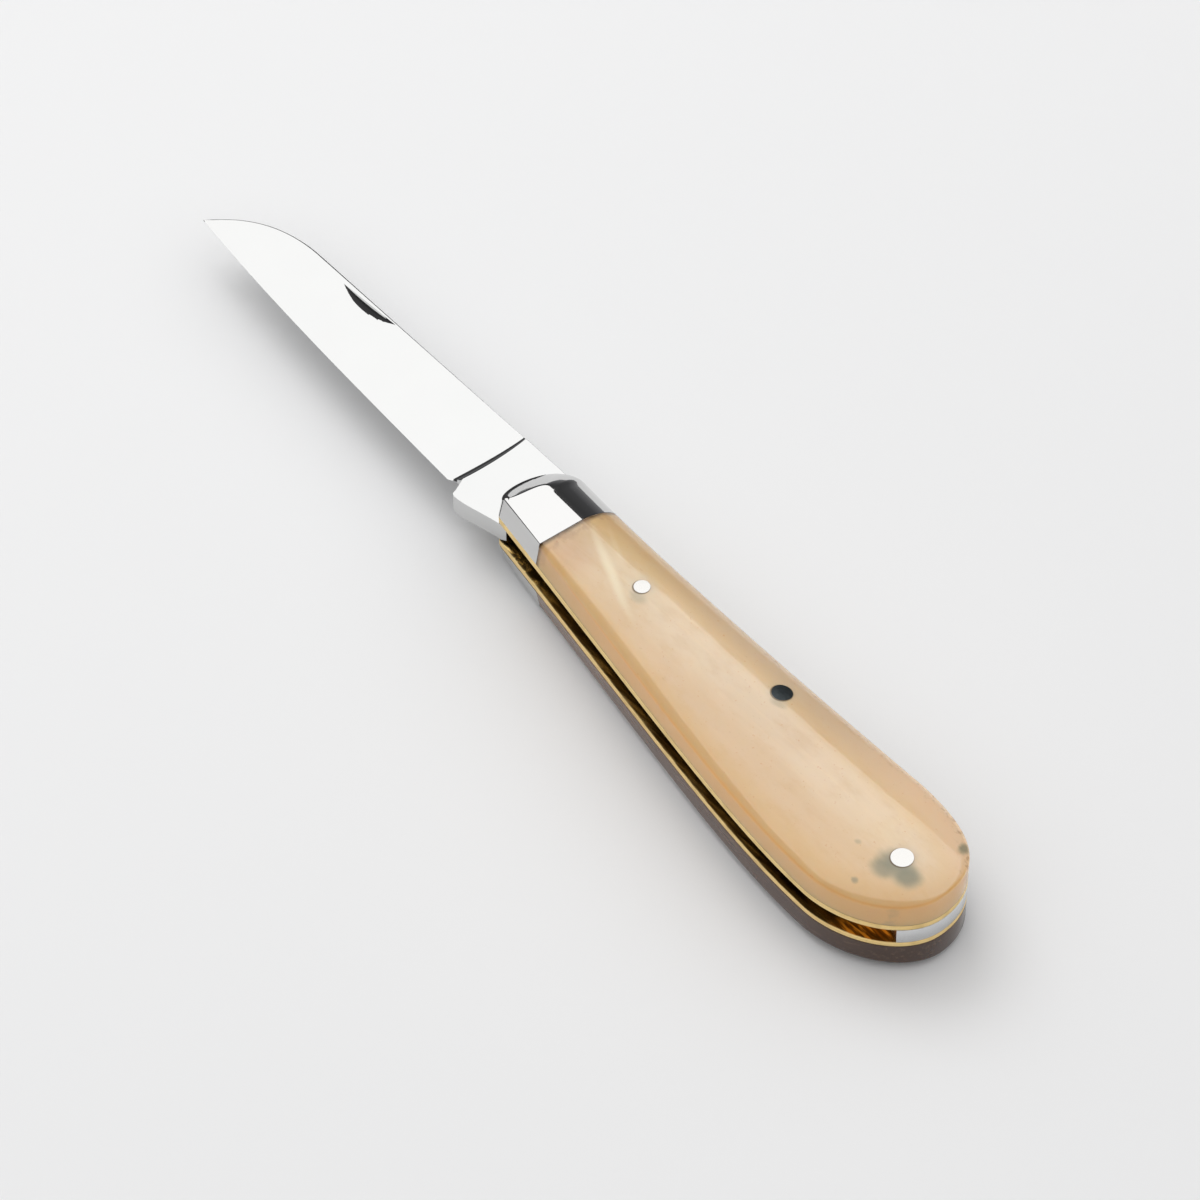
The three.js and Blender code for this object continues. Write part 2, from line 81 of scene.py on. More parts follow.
# Stops on the outline: x, y, the shoulder's run in x and y, the upright wall below it,
# and the wall's lean in x and y
STOPS = {
    "lip": (-3.2, -4.62, 0.0, 0.35, 2.95, 0.1, 0.62),
    "slot_start": (37.1, -10.7, 0.0, 3.3, 2.35, 0.0, -0.05),
    "slot_end": (52.5, -13.8, 0.0, 5.0, 3.1, 0.0, 0.0),
    "belly": (67.0, -13.8, -1.0, 5.0, 3.0, 0.0, 0.0),
    "belly_end": (73.5, -13.8, -3.0, 5.0, 2.8, 0.0, 0.0),
    "butt_start": (81.1, -9.2, -5.5, 2.2, 2.95, 0.0, 0.0),
    "butt": (81.1, -3.2, -5.5, 0.0, 3.6, 0.0, 0.0),
    "butt_end": (81.1, 4.1, -5.5, -4.7, 3.8, 0.0, 0.0),
    "hump_start": (75.0, 6.95, -5.0, -6.4, 2.4, 0.0, 0.0),
    "hump": (66.0, 6.95, -2.0, -7.4, 2.4, 0.0, 0.0),
    "hump_end": (48.0, 6.65, 0.0, -6.4, 1.6, 0.0, 0.0),
    "neck_start": (20.0, 6.0, 0.0, -5.4, 0.8, 0.0, 0.0),
    "neck": (0.0, 7.5, 0.0, -5.7, 0.15, 0.0, 0.0),
    "neck_end": (-5.6, 7.5, 2.9, -4.1, 1.7, 0.0, 0.0),
    "front_end": (-6.6, -3.42, 4.6, 1.5, 1.0, 0.0, 0.0),
}
# Curves between the stops: from, by way of two handles, to, and the number of steps
CURVES = (
    ("lip", "slot_start", "slot_end", "belly", 110),
    ("belly", "belly_end", "butt_start", "butt", 56),
    ("butt", "butt_end", "hump_start", "hump", 56),
    ("hump", "hump_end", "neck_start", "neck", 110),
    ("neck", "neck_end", "front_end", "lip", 64),
)
FRONT_CURVE = 4              # the curve round the bolster's front
FRONT_FORM = (0.06, 0.3, 0.94)   # its shares where the front's own form begins, is full and ends
FRONT_SLOPES = (0.92, 0.56)  # of the front's shoulder, at its foot and at its top
SHOULDER_STEPS = 20
BACK_FORMS = (1.58, 1.8)     # of a round back section, at the pivot and from here on
BACK_FORM_X = 30.0
BACK_RUN = 5.0               # a shoulder that runs this far in from the back takes that form in full
CRISP_RUN = 0.25             # run of the bolster's crisp edge along the slot
FLAT_MARGIN = 0.12
FOOT_GROOVE = 0.06
STRIP = 1.0                  # the flat is cut into strips this wide, because it falls to the front

SHEET_CORNER = math.radians(35)   # edges of a sheet that bend by more are rounded

# Blade
TIP = (-72.3, -0.2)
DROP_X = -56.0
SPINE_DROP = ((-56.0, 7.5), (-65.0, 7.5), (-69.5, 3.5), (-72.3, -0.1))
DROP_STEPS = 64
DROP_CROWD = 0.9             # below 1 the steps crowd at the tip
GRIND_STEPS = 84
HEEL = (-14.8, -4.1)
HEEL_RISE = 1.3
CHOIL_Y = -3.5
EDGE_BELLY = 0.55
BELLY_TO_TIP = 0.4
PLUNGE_X = -12.95
PLUNGE_END_X = -12.5
PLUNGE_BOW = 0.35
PLUNGE_REACH = 3.0
PLUNGE_RUN = 0.3             # length of its ramp where it has no step to climb
PLUNGE_SLOPE = 0.96          # and what each mm of the step adds to it
PLUNGE_LIFT = 0.35           # straight share of the ramp's rise, the rest swings up
PLUNGE_STEPS = 36
SPINE_HALF = 1.3
SPINE_HALF_TIP = 1.05
EDGE_HALF = 0.06
KEEN_HALF = 0.02             # half the thickness of the edge itself
LEAST_HALF = 0.01
LEAST_HEIGHT = 0.002
FACE_ROWS = 26
EDGE_SOFT = (0.02, 0.26)     # rounding of the spine at the tang and at the tip
SOFT_SHARE = 0.2             # most that it takes of the blade's height
SOFT_DEPTH = 0.6             # and of half its thickness
EDGE_LEVEL = 0.03            # a row this close to each rounding keeps the faces' shading level
LEVEL_SHARE = 0.3            # most that it takes of a row
GRIND_BEVEL = 0.2
BEVEL_SHARE = 0.25           # most that it takes of the blade's height
ROUND_IN = (0.0, 0.08, 0.29, 0.62, 1.0)     # an edge's rounding: share in from the edge
ROUND_DOWN = (1.0, 0.62, 0.29, 0.08, 0.0)   # and share down from the face
NICK = {"x": -45.2, "y": 6.9, "length": 10.4, "width": 1.75, "depth": 0.45, "lean": 3.0}
NICK_SIDES = 480

# Tang
TANG_HALF = 1.5
TANG_FLAT = 4.0              # from the pivot to each of its flats
TANG_ROUND = 4.9             # and to its rounded corners
TANG_REACH = math.sqrt(TANG_ROUND ** 2 - TANG_FLAT ** 2)   # half the length of a flat
CHOIL = ((-12.1, -3.95), (-11.8, -4.62))
KICK = (-11.45, -6.1)
KICK_ROUND = 0.7
KICK_STEPS = 6
TAIL_PULLS = ((2.4, 0.0), (-3.3, -0.35))    # handles of the curve from the kick to the closed flat
TAIL_STEPS = 24
END_STEPS = 12
SHOULDER_X = -2.0
SHOULDER_STEP = 0.001        # width of the upright step at the shoulder
SHOULDER_CLEAR = 0.01        # no other column stands as close to it
CLOSED = math.radians(171)

# Pins: x, y, radius
PIVOT = (0.0, 0.0, 1.6)
SPRING_PIN = (44.6, 2.25, 1.38)
BUTT_PIN = (73.9, -3.7, 1.45)
SCALE_RIVET = (20.1, -0.15, 1.08)
PIN_SIDES = 64
PIN_RINGS = 8                # of faces from the middle of a head to its rim
PIVOT_LENGTH = 9.0           # its ends stay hidden in the bolsters
PIVOT_CLEAR = 0.06           # round the pivot pin in the tang
RIVET_CLEAR = 0.05           # between a scale rivet's inner end and the slot
HEAD_LOW = 5.5               # what stands further out than this belongs to a pin's head
HOLE_RIM = 0.2               # width of the shaded rim round each head
HOLE_SHADE = (0.02, -0.14)   # and its shift

# Middle of the flat: y at x = 0, and its slope
MIDDLE_LINE = (-0.6, -0.0375)

# Inner edge of the spring, from its nose to its end beside the slot
NOSE_X = -1.95
NOSE_END_X = 4.9
NOSE_GAP = 0.05
# Under the arm: x, and how far it lies below its height over the closed kick
ARM = ((6.1, 0.0), (13.9, 0.0), (19.5, 0.47), (24.0, 0.7))
ARM_TO_PIN = (33.0, 1.4)
KICK_GAP = 0.08
SPRING_PIN_BOSS_Y = -1.1
BOSS_PULL = 9.0              # handles of the curves beside the spring pin
BUTT_BOSS = 3.95
BUTT_BOSS_TURN = 0.62        # share of a half turn that runs round the butt pin
TO_BUTT_X = 68.05
WELL_STEPS = 40
WELL_REACH = 9.0
SPRING_END = (78.7, -8.6)


# Shapes


def thinness(x):
    return 1 - THINNING * x


def clamped(value):
    return min(1.0, max(0.0, value))


def between(first, last, share):
    return first + (last - first) * share


def bezier(a, b, c, d, t):
    weights = ((1 - t) ** 3, 3 * t * (1 - t) ** 2, 3 * t * t * (1 - t), t ** 3)
    return tuple(sum(p * q for p, q in zip(weights, column)) for column in zip(a, b, c, d))


def bend(a, corner, b, t):
    """A bend that rounds a corner."""
    weights = ((1 - t) ** 2, 2 * t * (1 - t), t * t)
    return tuple(sum(p * q for p, q in zip(weights, column)) for column in zip(a, corner, b))


def flat_top(x):
    """Height of the flat over the middle of the knife: it falls gently over the bolster."""
    before = FRONT_FALL_X - x
    run = before if before > FALL_EASE else max(0.0, before + FALL_EASE) ** 2 / (4 * FALL_EASE)
    return FLAT_HEIGHT - FRONT_FALL * run


def outline(crisp=False):
    """Points round the handle, anticlockwise from the lip: the values of a stop, and the share
    of the front curve where the point lies on it."""
    points = []
    for number, (a, b, c, d, steps) in enumerate(CURVES):
        for i in range(steps):
            t = i / steps
            point = list(bezier(STOPS[a], STOPS[b], STOPS[c], STOPS[d], t))
            if crisp and number == 0:
                point[3] = CRISP_RUN
            points.append((*point, t if number == FRONT_CURVE else None))
    return points


def outline_edge():
    return [(p[0], p[1]) for p in outline()]


def front_share(t):
    """How far the shoulder takes the front's form: not at all along the neck or the slot."""
    if t is None:
        return 0.0
    begins, full, ends = FRONT_FORM
    return clamped((t - begins) / (full - begins)) * clamped((1 - t) / (1 - ends))


def side_rings(crisp):
    """Rings of points from the liner up to the flat, on the upper side of the knife: x, y, z, and
    how far in along the shoulder they lie."""
    points = outline(crisp)
    rings = []
    for inset, up in ((FOOT_GROOVE, 0.0), (0.0, FOOT_GROOVE)):
        ring = []
        for x, y, in_x, in_y, *_ in points:
            reach = inset / math.hypot(in_x, in_y)
            ring.append((x + in_x * reach, y + in_y * reach, LINER_TOP * thinness(x) + up, 0.0))
        rings.append(ring)
    outer, inner = FRONT_SLOPES
    for k in range(SHOULDER_STEPS + 1):
        along = 1 - math.cos((math.pi / 2) * (k / SHOULDER_STEPS))
        front_rise = (outer * along - (outer - inner) * along ** 2 / 2) / ((outer + inner) / 2)
        ring = []
        for x, y, in_x, in_y, wall, lean_x, lean_y, t in points:
            foot = LINER_TOP * thinness(x) + wall
            top = flat_top(x + in_x)
            share = front_share(t)
            back_form = between(*BACK_FORMS, clamped(x / BACK_FORM_X))
            form = between(2, back_form, clamped(-in_y / BACK_RUN))
            round_rise = max(0.0, 1 - (1 - along) ** form) ** (1 / form)
            rise = between(round_rise, front_rise, share)
            ring.append((x + lean_x + in_x * along, y + lean_y + in_y * along,
                         foot + (top - foot) * rise, along))
        rings.append(ring)
    # one more ring on the flat, so that its shading starts level
    ring = []
    for x, y, in_x, in_y, _, lean_x, lean_y, _ in points:
        further = 1 + FLAT_MARGIN / math.hypot(in_x, in_y)
        place = (x + lean_x + in_x * further, y + lean_y + in_y * further)
        ring.append((*place, flat_top(place[0]), 1.0))
    rings.append(ring)
    return rings


def side_shell(name, up, crisp):
    """The closed solid outside one liner, before it is parted into bolster and scale."""
    rings = side_rings(crisp)
    count = len(rings[0])
    places = [(x, y, z * up) for ring in rings for x, y, z, _ in ring]
    faces = []
    for k in range(len(rings) - 1):
        for i in range(count):
            here, after = k * count + i, k * count + (i + 1) % count
            faces.append((here, after, after + count, here + count))
    last = (len(rings) - 1) * count
    faces.append(tuple(reversed(range(count))))
    faces.append(tuple(range(last, last + count)))
    if up < 0:
        faces = [tuple(reversed(face)) for face in faces]
    made = mesh_of(name, places, faces)
    inward = made.attributes.new("inward", "FLOAT", "POINT")
    for number, value in enumerate(p[3] for ring in rings for p in ring):
        inward.data[number].value = value
    with worked(made) as work:
        work.faces.ensure_lookup_table()
        strips(work, work.faces[-1])
    return made


def strips(work, flat):
    """Cuts the flat across, strip by strip, from its front end to its back end."""
    flat.material_index = 1     # marks the flat's own faces until the finish is put on
    reach = [(vert.co.x - HINGE.x) / MM for vert in flat.verts]
    for number in range(1, int((max(reach) - min(reach)) / STRIP)):
        faces = [face for face in work.faces if face.material_index == 1]
        edges = {edge for face in faces for edge in face.edges}
        verts = {vert for face in faces for vert in face.verts}
        place = HINGE + Vector((min(reach) + number * STRIP, 0, 0)) * MM
        bmesh.ops.bisect_plane(work, geom=[*verts, *edges, *faces], dist=SAW_FINE,
                               plane_co=place, plane_no=(1, 0, 0))


@contextmanager
def worked(mesh):
    """Opens a mesh to be worked on, and puts the result back."""
    work = bmesh.new()
    work.from_mesh(mesh)
    yield work
    work.to_mesh(mesh)
    work.free()


def mesh_of(name, places, faces=(), edges=()):
    """A mesh from points in mm about the pivot."""
    made = bpy.data.meshes.new(name)
    made.from_pydata([HINGE + Vector(p) * MM for p in places], edges, faces)
    made.validate()
    return made


def parted(mesh, keep_front):
    """Saws a side shell at the joint of bolster and scale and keeps one part."""
    normal = Vector((math.cos(JOINT_LEAN), -math.sin(JOINT_LEAN), 0))
    place = HINGE + Vector((BOLSTER_END_X + (0 if keep_front else JOINT_GAP), 0, 0)) * MM
    with worked(mesh) as work:
        cut = bmesh.ops.bisect_plane(
            work, geom=work.verts[:] + work.edges[:] + work.faces[:], dist=SAW_FINE, plane_co=place,
            plane_no=normal, clear_outer=keep_front, clear_inner=not keep_front)
        rim = [edge for edge in cut["geom_cut"] if isinstance(edge, bmesh.types.BMEdge)]
        bmesh.ops.contextual_create(work, geom=rim)
        bmesh.ops.recalc_face_normals(work, faces=work.faces[:])


def side_piece(name, up, bolster):
    """The bolster or the scale of one side."""
    mesh = side_shell(name, up, bolster)
    parted(mesh, bolster)
    return new_piece(name, mesh)


def plate(name, edge, low, high):
    """An upright plate between two heights, from an anticlockwise edge."""
    count = len(edge)
    places = [(x, y, z * thinness(x)) for z in (low, high) for x, y in edge]
    faces = [tuple(reversed(range(count))), tuple(range(count, 2 * count))]
    for i in range(count):
        after = (i + 1) % count
        faces.append((i, after, after + count, i + count))
    return mesh_of(name, places, faces)


def carved(piece, cutter_mesh):
    """Cuts one closed mesh out of a piece."""
    cutter = bpy.data.objects.new("cutter", cutter_mesh)
    bpy.context.scene.collection.objects.link(cutter)
    cut = piece.modifiers.new("cut", "BOOLEAN")
    cut.operation = "DIFFERENCE"
    cut.solver = "EXACT"
    cut.object = cutter
    applied(piece)
    bpy.data.objects.remove(cutter)


def applied(piece):
    """Turns a piece with modifiers into a plain mesh."""
    graph = bpy.context.evaluated_depsgraph_get()
    graph.update()
    made = bpy.data.meshes.new_from_object(piece.evaluated_get(graph))
    piece.modifiers.clear()
    piece.data = made
    made.name = piece.name


def softened(piece, width):
    """Rounds the edges of a sheet, by a width in metres."""
    bevel = piece.modifiers.new("soft edges", "BEVEL")
    bevel.width = width
    bevel.segments = 2
    bevel.limit_method = "ANGLE"
    bevel.angle_limit = SHEET_CORNER
    applied(piece)


def filed(piece, shell):
    """Files the outer ends of a pin level with the horn round them."""
    skin = BVHTree.FromPolygons([v.co for v in shell.vertices], [f.vertices for f in shell.polygons])
    for vert in piece.data.vertices:
        rise = vert.co.z - HINGE.z
        if abs(rise) > HEAD_LOW * MM:
            above = Vector((vert.co.x, vert.co.y, HINGE.z + BEYOND * MM))
            surface = skin.ray_cast(above, Vector((0, 0, -1)))[0].z - HINGE.z
            lower = flat_top((vert.co.x - HINGE.x) / MM) * MM - surface
            vert.co.z -= math.copysign(lower, rise)


def finished(piece, body, replaced, material, sharp=32):
    """Gives a piece its finish and its smooth shading, apart from edges that bend by more than
    sharp degrees, and puts it in the frame."""
    piece.data.shade_smooth()
    piece.data.set_sharp_from_angle(angle=math.radians(sharp))
    piece.data.materials.clear()
    piece.data.materials.append(material)
    for face in piece.data.polygons:
        face.material_index = 0
    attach(piece, body)
    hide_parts(*replaced)


def new_piece(name, mesh):
    piece = bpy.data.objects.new(name, mesh)
    bpy.context.scene.collection.objects.link(piece)
    return piece


# Blade


def edge_y(x):
    """The cutting edge: straight from heel to tip, and bowed out most nearer the tip."""
    t = max(0.0, (x - HEEL[0]) / (TIP[0] - HEEL[0]))
    bow = EDGE_BELLY * 4 * t * (1 - t) * (1 + BELLY_TO_TIP * (2 * t - 1))
    return between(HEEL[1], TIP[1], t) - bow


def to_drop(x):
    """Share of the way from the plunge to where the spine begins to drop."""
    return clamped((x - PLUNGE_X) / (DROP_X - PLUNGE_X))


def wedge_half(x, y):
    """Half the thickness of the ground blade at a place."""
    spine = between(SPINE_HALF, SPINE_HALF_TIP, to_drop(x))
    low = edge_y(x)
    return between(EDGE_HALF, spine, max(0.0, (y - low) / (BACK_Y - low)))


def plunge_run(y):
    """Length of the ramp from the grind up to the tang: longer where the step is higher."""
    return PLUNGE_RUN + PLUNGE_SLOPE * (TANG_HALF - wedge_half(PLUNGE_X, y))


def tang_tail():
    """Lower edge of the tang from the kick's foot to the flat that lies under the spring when closed."""
    foot = (KICK[0] + KICK_ROUND, KICK[1])
    flat = Matrix.Rotation(-CLOSED, 2) @ Vector((TANG_REACH, TANG_FLAT))
    handles = [(x + pull_x, y + pull_y) for (x, y), (pull_x, pull_y) in zip((foot, flat), TAIL_PULLS)]
    return [bezier(foot, *handles, tuple(flat), i / TAIL_STEPS) for i in range(1, TAIL_STEPS + 1)]


def tang_low():
    """Lower edge of the tang from the choil to its rounded end, as x and y."""
    before, after = (KICK[0], KICK[1] + KICK_ROUND), (KICK[0] + KICK_ROUND, KICK[1])
    low = [*CHOIL, before]
    low += [bend(before, KICK, after, i / KICK_STEPS) for i in range(1, KICK_STEPS + 1)]
    low += tang_tail()
    flat_end = Matrix.Rotation(-CLOSED, 2) @ Vector((-TANG_REACH, TANG_FLAT))
    low.append(tuple(flat_end))
    first = math.pi / 2 - CLOSED + math.atan2(TANG_REACH, TANG_FLAT)
    for i in range(1, END_STEPS + 1):
        turn = first * (1 - i / END_STEPS)
        low.append((TANG_ROUND * math.cos(turn), TANG_ROUND * math.sin(turn)))
    return low


def tang_top(x):
    if x < SHOULDER_X:
        return BACK_Y
    if x <= TANG_REACH:
        return TANG_FLAT
    return math.sqrt(max(0.0, TANG_ROUND ** 2 - x * x))


def blade_columns():
    """Upright slices of the blade from tip to tang: x, top, low, and 1 in the tang."""
    columns = []
    for i in range(DROP_STEPS, 0, -1):
        x, y = bezier(*SPINE_DROP, (i / DROP_STEPS) ** DROP_CROWD)
        columns.append((x, y, edge_y(x), 0))
    for i in range(GRIND_STEPS, 0, -1):
        x = between(HEEL[0], DROP_X, i / GRIND_STEPS)
        columns.append((x, BACK_Y, edge_y(x), 0))
    for i in range(PLUNGE_STEPS + 1):
        x = between(HEEL[0], PLUNGE_END_X, i / PLUNGE_STEPS)
        rise = min(1.0, (x - HEEL[0]) / HEEL_RISE)
        columns.append((x, BACK_Y, between(HEEL[1], CHOIL_Y, 3 * rise * rise - 2 * rise ** 3), 0))
    was = TIP[0]
    for x, y in tang_low():
        if was < SHOULDER_X <= x:
            columns.append((SHOULDER_X - SHOULDER_STEP, BACK_Y, y, 1))
            columns.append((SHOULDER_X, TANG_FLAT, y, 1))
        if abs(x - SHOULDER_X) > SHOULDER_CLEAR:
            columns.append((x, tang_top(x), min(y, tang_top(x)), 1))
        was = x
    return columns


def ground_half(x, y):
    """Half the thickness at a place before the tang: the grind, and the ramp of the plunge."""
    ground = wedge_half(x, y)
    run = plunge_run(y)
    share = (x - PLUNGE_END_X + run) / run
    if share <= 0:
        return ground
    lift = PLUNGE_LIFT * share + (1 - PLUNGE_LIFT) * share ** 3
    return between(ground, TANG_HALF, min(1.0, lift))


def bowed(x, y):
    """Moves the columns near the plunge into its curve."""
    near = clamped((x - PLUNGE_END_X) / PLUNGE_REACH + 1)
    height = clamped((y - HEEL[1]) / (BACK_Y - HEEL[1]))
    return x + PLUNGE_BOW * 4 * height * (1 - height) * near


def blade_column(x, top, low, tang):
    """Points down one face of the blade, with its spine and its edge or lower side rounded."""
    height = max(top - low, LEAST_HEIGHT)
    soft = min(between(*EDGE_SOFT, to_drop(x)), height * SOFT_SHARE)
    last = soft if tang else min(GRIND_BEVEL, height * BEVEL_SHARE)
    row = (height - soft - last) / FACE_ROWS
    level = min(EDGE_LEVEL, row * LEVEL_SHARE)
    depths = [soft * r for r in ROUND_IN] + [soft + level]
    depths += [soft + row * i for i in range(1, FACE_ROWS)]
    depths += [height - last - level] + [height - last * r for r in reversed(ROUND_IN)]
    column = []
    for from_top, depth in enumerate(depths):
        from_low = len(depths) - 1 - from_top
        y = top - depth
        half = TANG_HALF if tang else ground_half(x, y)
        if from_top < len(ROUND_IN):
            half -= min(soft, half * SOFT_DEPTH) * ROUND_DOWN[from_top]
        if from_low < len(ROUND_IN):
            if tang:
                half -= min(soft, half * SOFT_DEPTH) * ROUND_DOWN[from_low]
            else:
                half = between(KEEN_HALF, half, ROUND_IN[from_low])
        column.append((x if tang else bowed(x, y), y, max(half, LEAST_HALF)))
    return column


def blade_mesh():
    """One face of the blade as a grid of columns and rows, closed with its twin on the other side."""
    columns = [blade_column(*values) for values in blade_columns()]
    rows, count = len(columns[0]), len(columns)
    places = [(x, y, z * side) for side in (1, -1) for column in columns for x, y, z in column]

    def at(side, i, j):
        return (side * count + i) * rows + j

    faces = []
    for i in range(count - 1):
        for j in range(rows - 1):
            faces.append((at(0, i, j), at(0, i, j + 1), at(0, i + 1, j + 1), at(0, i + 1, j)))
            faces.append((at(1, i, j), at(1, i + 1, j), at(1, i + 1, j + 1), at(1, i, j + 1)))
        for j in (0, rows - 1):
            faces.append((at(0, i, j), at(0, i + 1, j), at(1, i + 1, j), at(1, i, j)))
    for j in range(rows - 1):
        for i in (0, count - 1):
            faces.append((at(0, i, j), at(1, i, j), at(1, i, j + 1), at(0, i, j + 1)))
    made = mesh_of("blade", places, faces)
    with worked(made) as work:
        bmesh.ops.remove_doubles(work, verts=work.verts[:], dist=MERGE_FINE)
        bmesh.ops.dissolve_degenerate(work, edges=work.edges[:], dist=MERGE_FINE / 2)
        bmesh.ops.recalc_face_normals(work, faces=work.faces[:])
    return made


def round_cutter(radii, length, sides, middle=(0, 0, 0), turn=Quaternion()):
    """A cone or cylinder along its own z, turned and set down with its middle at a place, in mm."""
    made = bpy.data.meshes.new("cutter")
    with worked(made) as work:
        bmesh.ops.create_cone(work, cap_ends=True, segments=sides, radius1=radii[0] * MM,
                              radius2=radii[1] * MM, depth=length * MM)
        work.transform(Matrix.Translation(HINGE + Vector(middle) * MM) @ turn.to_matrix().to_4x4())
    return made


def nick_cutter():
    """The dished cutter that leaves the nick: straight on the spine's side, curved on the edge's."""
    half = NICK["length"] / 2
    radius = (half ** 2 + NICK["depth"] ** 2) / (2 * NICK["depth"])
    slope = NICK["depth"] / NICK["width"]
    length = NICK["width"] * 2
    lean = math.radians(NICK["lean"])
    face = Vector((NICK["x"], NICK["y"], wedge_half(NICK["x"], NICK["y"]) - NICK["depth"] + radius))
    down = Vector((math.sin(lean), -math.cos(lean), 0))
    return round_cutter((radius, radius - slope * length), length, NICK_SIDES,
                        face + down * (length / 2), down.to_track_quat("Z", "Y"))


# Spring


def well_edge():
    """The room inside the spring, from its nose to its end beside the slot."""
    pin_x = SPRING_PIN[0]
    # past the kick's foot, the closed blade's tail sets the height of the arm
    arm_y = KICK_GAP + max(x * math.sin(CLOSED) + y * math.cos(CLOSED) for x, y in tang_tail()[1:])
    nose_y = TANG_FLAT + NOSE_GAP
    edge = [(-BEYOND, BEYOND), (NOSE_X, BEYOND), (NOSE_X, nose_y), (NOSE_END_X, nose_y)]
    *arm, knee = [(x, arm_y - drop) for x, drop in (*ARM, ARM_TO_PIN)]
    boss = (pin_x, SPRING_PIN_BOSS_Y)
    curves = (
        arm,
        (arm[-1], knee, (pin_x - BOSS_PULL, SPRING_PIN_BOSS_Y), boss),
        (boss, (pin_x + BOSS_PULL, SPRING_PIN_BOSS_Y), (TO_BUTT_X, SPRING_PIN_BOSS_Y),
         (BUTT_PIN[0] - BUTT_BOSS, BUTT_PIN[1])),
    )
    for curve in curves:
        edge += [bezier(*curve, i / WELL_STEPS) for i in range(WELL_STEPS)]
    for i in range(WELL_STEPS + 1):
        turn = math.pi * (1 + BUTT_BOSS_TURN * i / WELL_STEPS)
        edge.append((BUTT_PIN[0] + BUTT_BOSS * math.cos(turn), BUTT_PIN[1] + BUTT_BOSS * math.sin(turn)))
    edge += [SPRING_END, (SPRING_END[0] + BEYOND, SPRING_END[1] - BEYOND), (-BEYOND, -BEYOND * 2)]
    return edge[::-1]


# Finishes


class Field:
    """A socket of a node tree that plain sums work on."""

    def __init__(self, tree, socket=None):
        self.tree = tree
        self.socket = socket

    def node(self, kind, settings=None, sockets=None, out=0):
        """Adds any other node: its settings first, then the values or links of its sockets."""
        made = self.tree.nodes.new(kind)
        for key, value in (settings or {}).items():
            if key == "stops":     # of a colour ramp: place and colour
                ramp = made.color_ramp
                while len(ramp.elements) < len(value):
                    ramp.elements.new(0.5)
                for element, (place, colour) in zip(ramp.elements, value):
                    element.position = place
                    element.color = (*colour, 1)
            else:
                setattr(made, key, value)
        for key, value in (sockets or {}).items():
            if isinstance(value, Field):
                self.tree.links.new(value.socket, made.inputs[key])
            else:
                made.inputs[key].default_value = value
        return Field(self.tree, made.outputs[out] if made.outputs else None)

    def beside(self, out):
        """Another output of the same node."""
        return Field(self.tree, self.socket.node.outputs[out])

    def _math(self, operation, *values):
        return self.node("ShaderNodeMath", {"operation": operation}, dict(enumerate(values)))

    def __add__(self, other):
        return self._math("ADD", self, other)

    def __radd__(self, other):
        return self._math("ADD", other, self)

    def __sub__(self, other):
        return self._math("SUBTRACT", self, other)

    def __rsub__(self, other):
        return self._math("SUBTRACT", other, self)

    def __mul__(self, other):
        return self._math("MULTIPLY", self, other)

    def __rmul__(self, other):
        return self._math("MULTIPLY", other, self)

    def __truediv__(self, other):
        return self._math("DIVIDE", self, other)

    def __rtruediv__(self, other):
        return self._math("DIVIDE", other, self)

    def __pow__(self, other):
        return self._math("POWER", self, other)

    def __abs__(self):
        return self._math("ABSOLUTE", self)


def eased(field, low, high):
    """0 below low, 1 above high, with a smooth step between."""
    return field.node("ShaderNodeMapRange", {"interpolation_type": "SMOOTHSTEP"},
                      {"Value": field, "From Min": low, "From Max": high})


def mixed(mask, first, second):
    return mask.node("ShaderNodeMix", {"data_type": "RGBA"}, {0: mask, 6: rgba(first), 7: rgba(second)}, 2)


def layered(colour, *layers):
    """Lays colours over one another, each by its mask."""
    for mask, tone in layers:
        colour = mixed(mask, colour, tone)
    return colour


def rgba(colour):
    return colour if isinstance(colour, Field) else (*colour, 1.0)


def linear(*codes):
    """A colour given in display codes 0-255, as linear values."""
    return tuple(c / 255 / 12.92 if c <= 10 else ((c / 255 + 0.055) / 1.055) ** 2.4 for c in codes)


# Colours of the finishes, and places on the knife in mm. A noise's scale is per mm.
BLACK = (0.0, 0.0, 0.0)
BRASS_WORN = linear(150, 118, 62)
# painted shade of the liners' inner faces, inside the well
BRASS_INNER_SHADE = linear(62, 36, 8)
BRASS_SPOT = linear(30, 20, 6)
# painted deep shade between the painted glints at the front of the well
BRASS_DEEP_SHADE = linear(22, 24, 20)
# painted amber glow on the liners' inner faces near the slot's end
AMBER_LIGHT = (0.26, 0.085, 0.006)
AMBER_FROM = (70.5, 73.5)    # near the slot's end
SPRING_TONES = (linear(224, 226, 228), linear(208, 209, 210))
DARK_TONES = (linear(52, 58, 62), linear(92, 98, 100))
PIN_TONE = (0.65, 0.64, 0.62)

# Where the horn's colours begin along the handle, and how far they reach
HORN_START = 6.0
HORN_LENGTH = 75.0
LIGHT_HORN = (
    (0.0, linear(196, 164, 124)), (0.1, linear(216, 196, 163)), (0.3, linear(222, 202, 174)),
    (0.62, linear(221, 198, 170)), (0.85, linear(228, 205, 172)), (1.0, linear(220, 197, 168)))
HORN_CLOUD = linear(232, 211, 184)
HORN_HONEY = linear(204, 166, 120)
HORN_FIBRE = linear(238, 214, 178)
HORN_DEEP = linear(206, 166, 114)
HORN_PINK = linear(202, 164, 132)
HORN_CREAM = linear(234, 222, 194)
HORN_AMBER = linear(214, 176, 112)
HORN_RIM = linear(200, 148, 84)
# painted shade and painted reflection of the grey room over the back shoulder, along the handle
HORN_BACK_SHADE = (linear(196, 162, 118), linear(200, 176, 150), linear(228, 198, 170))
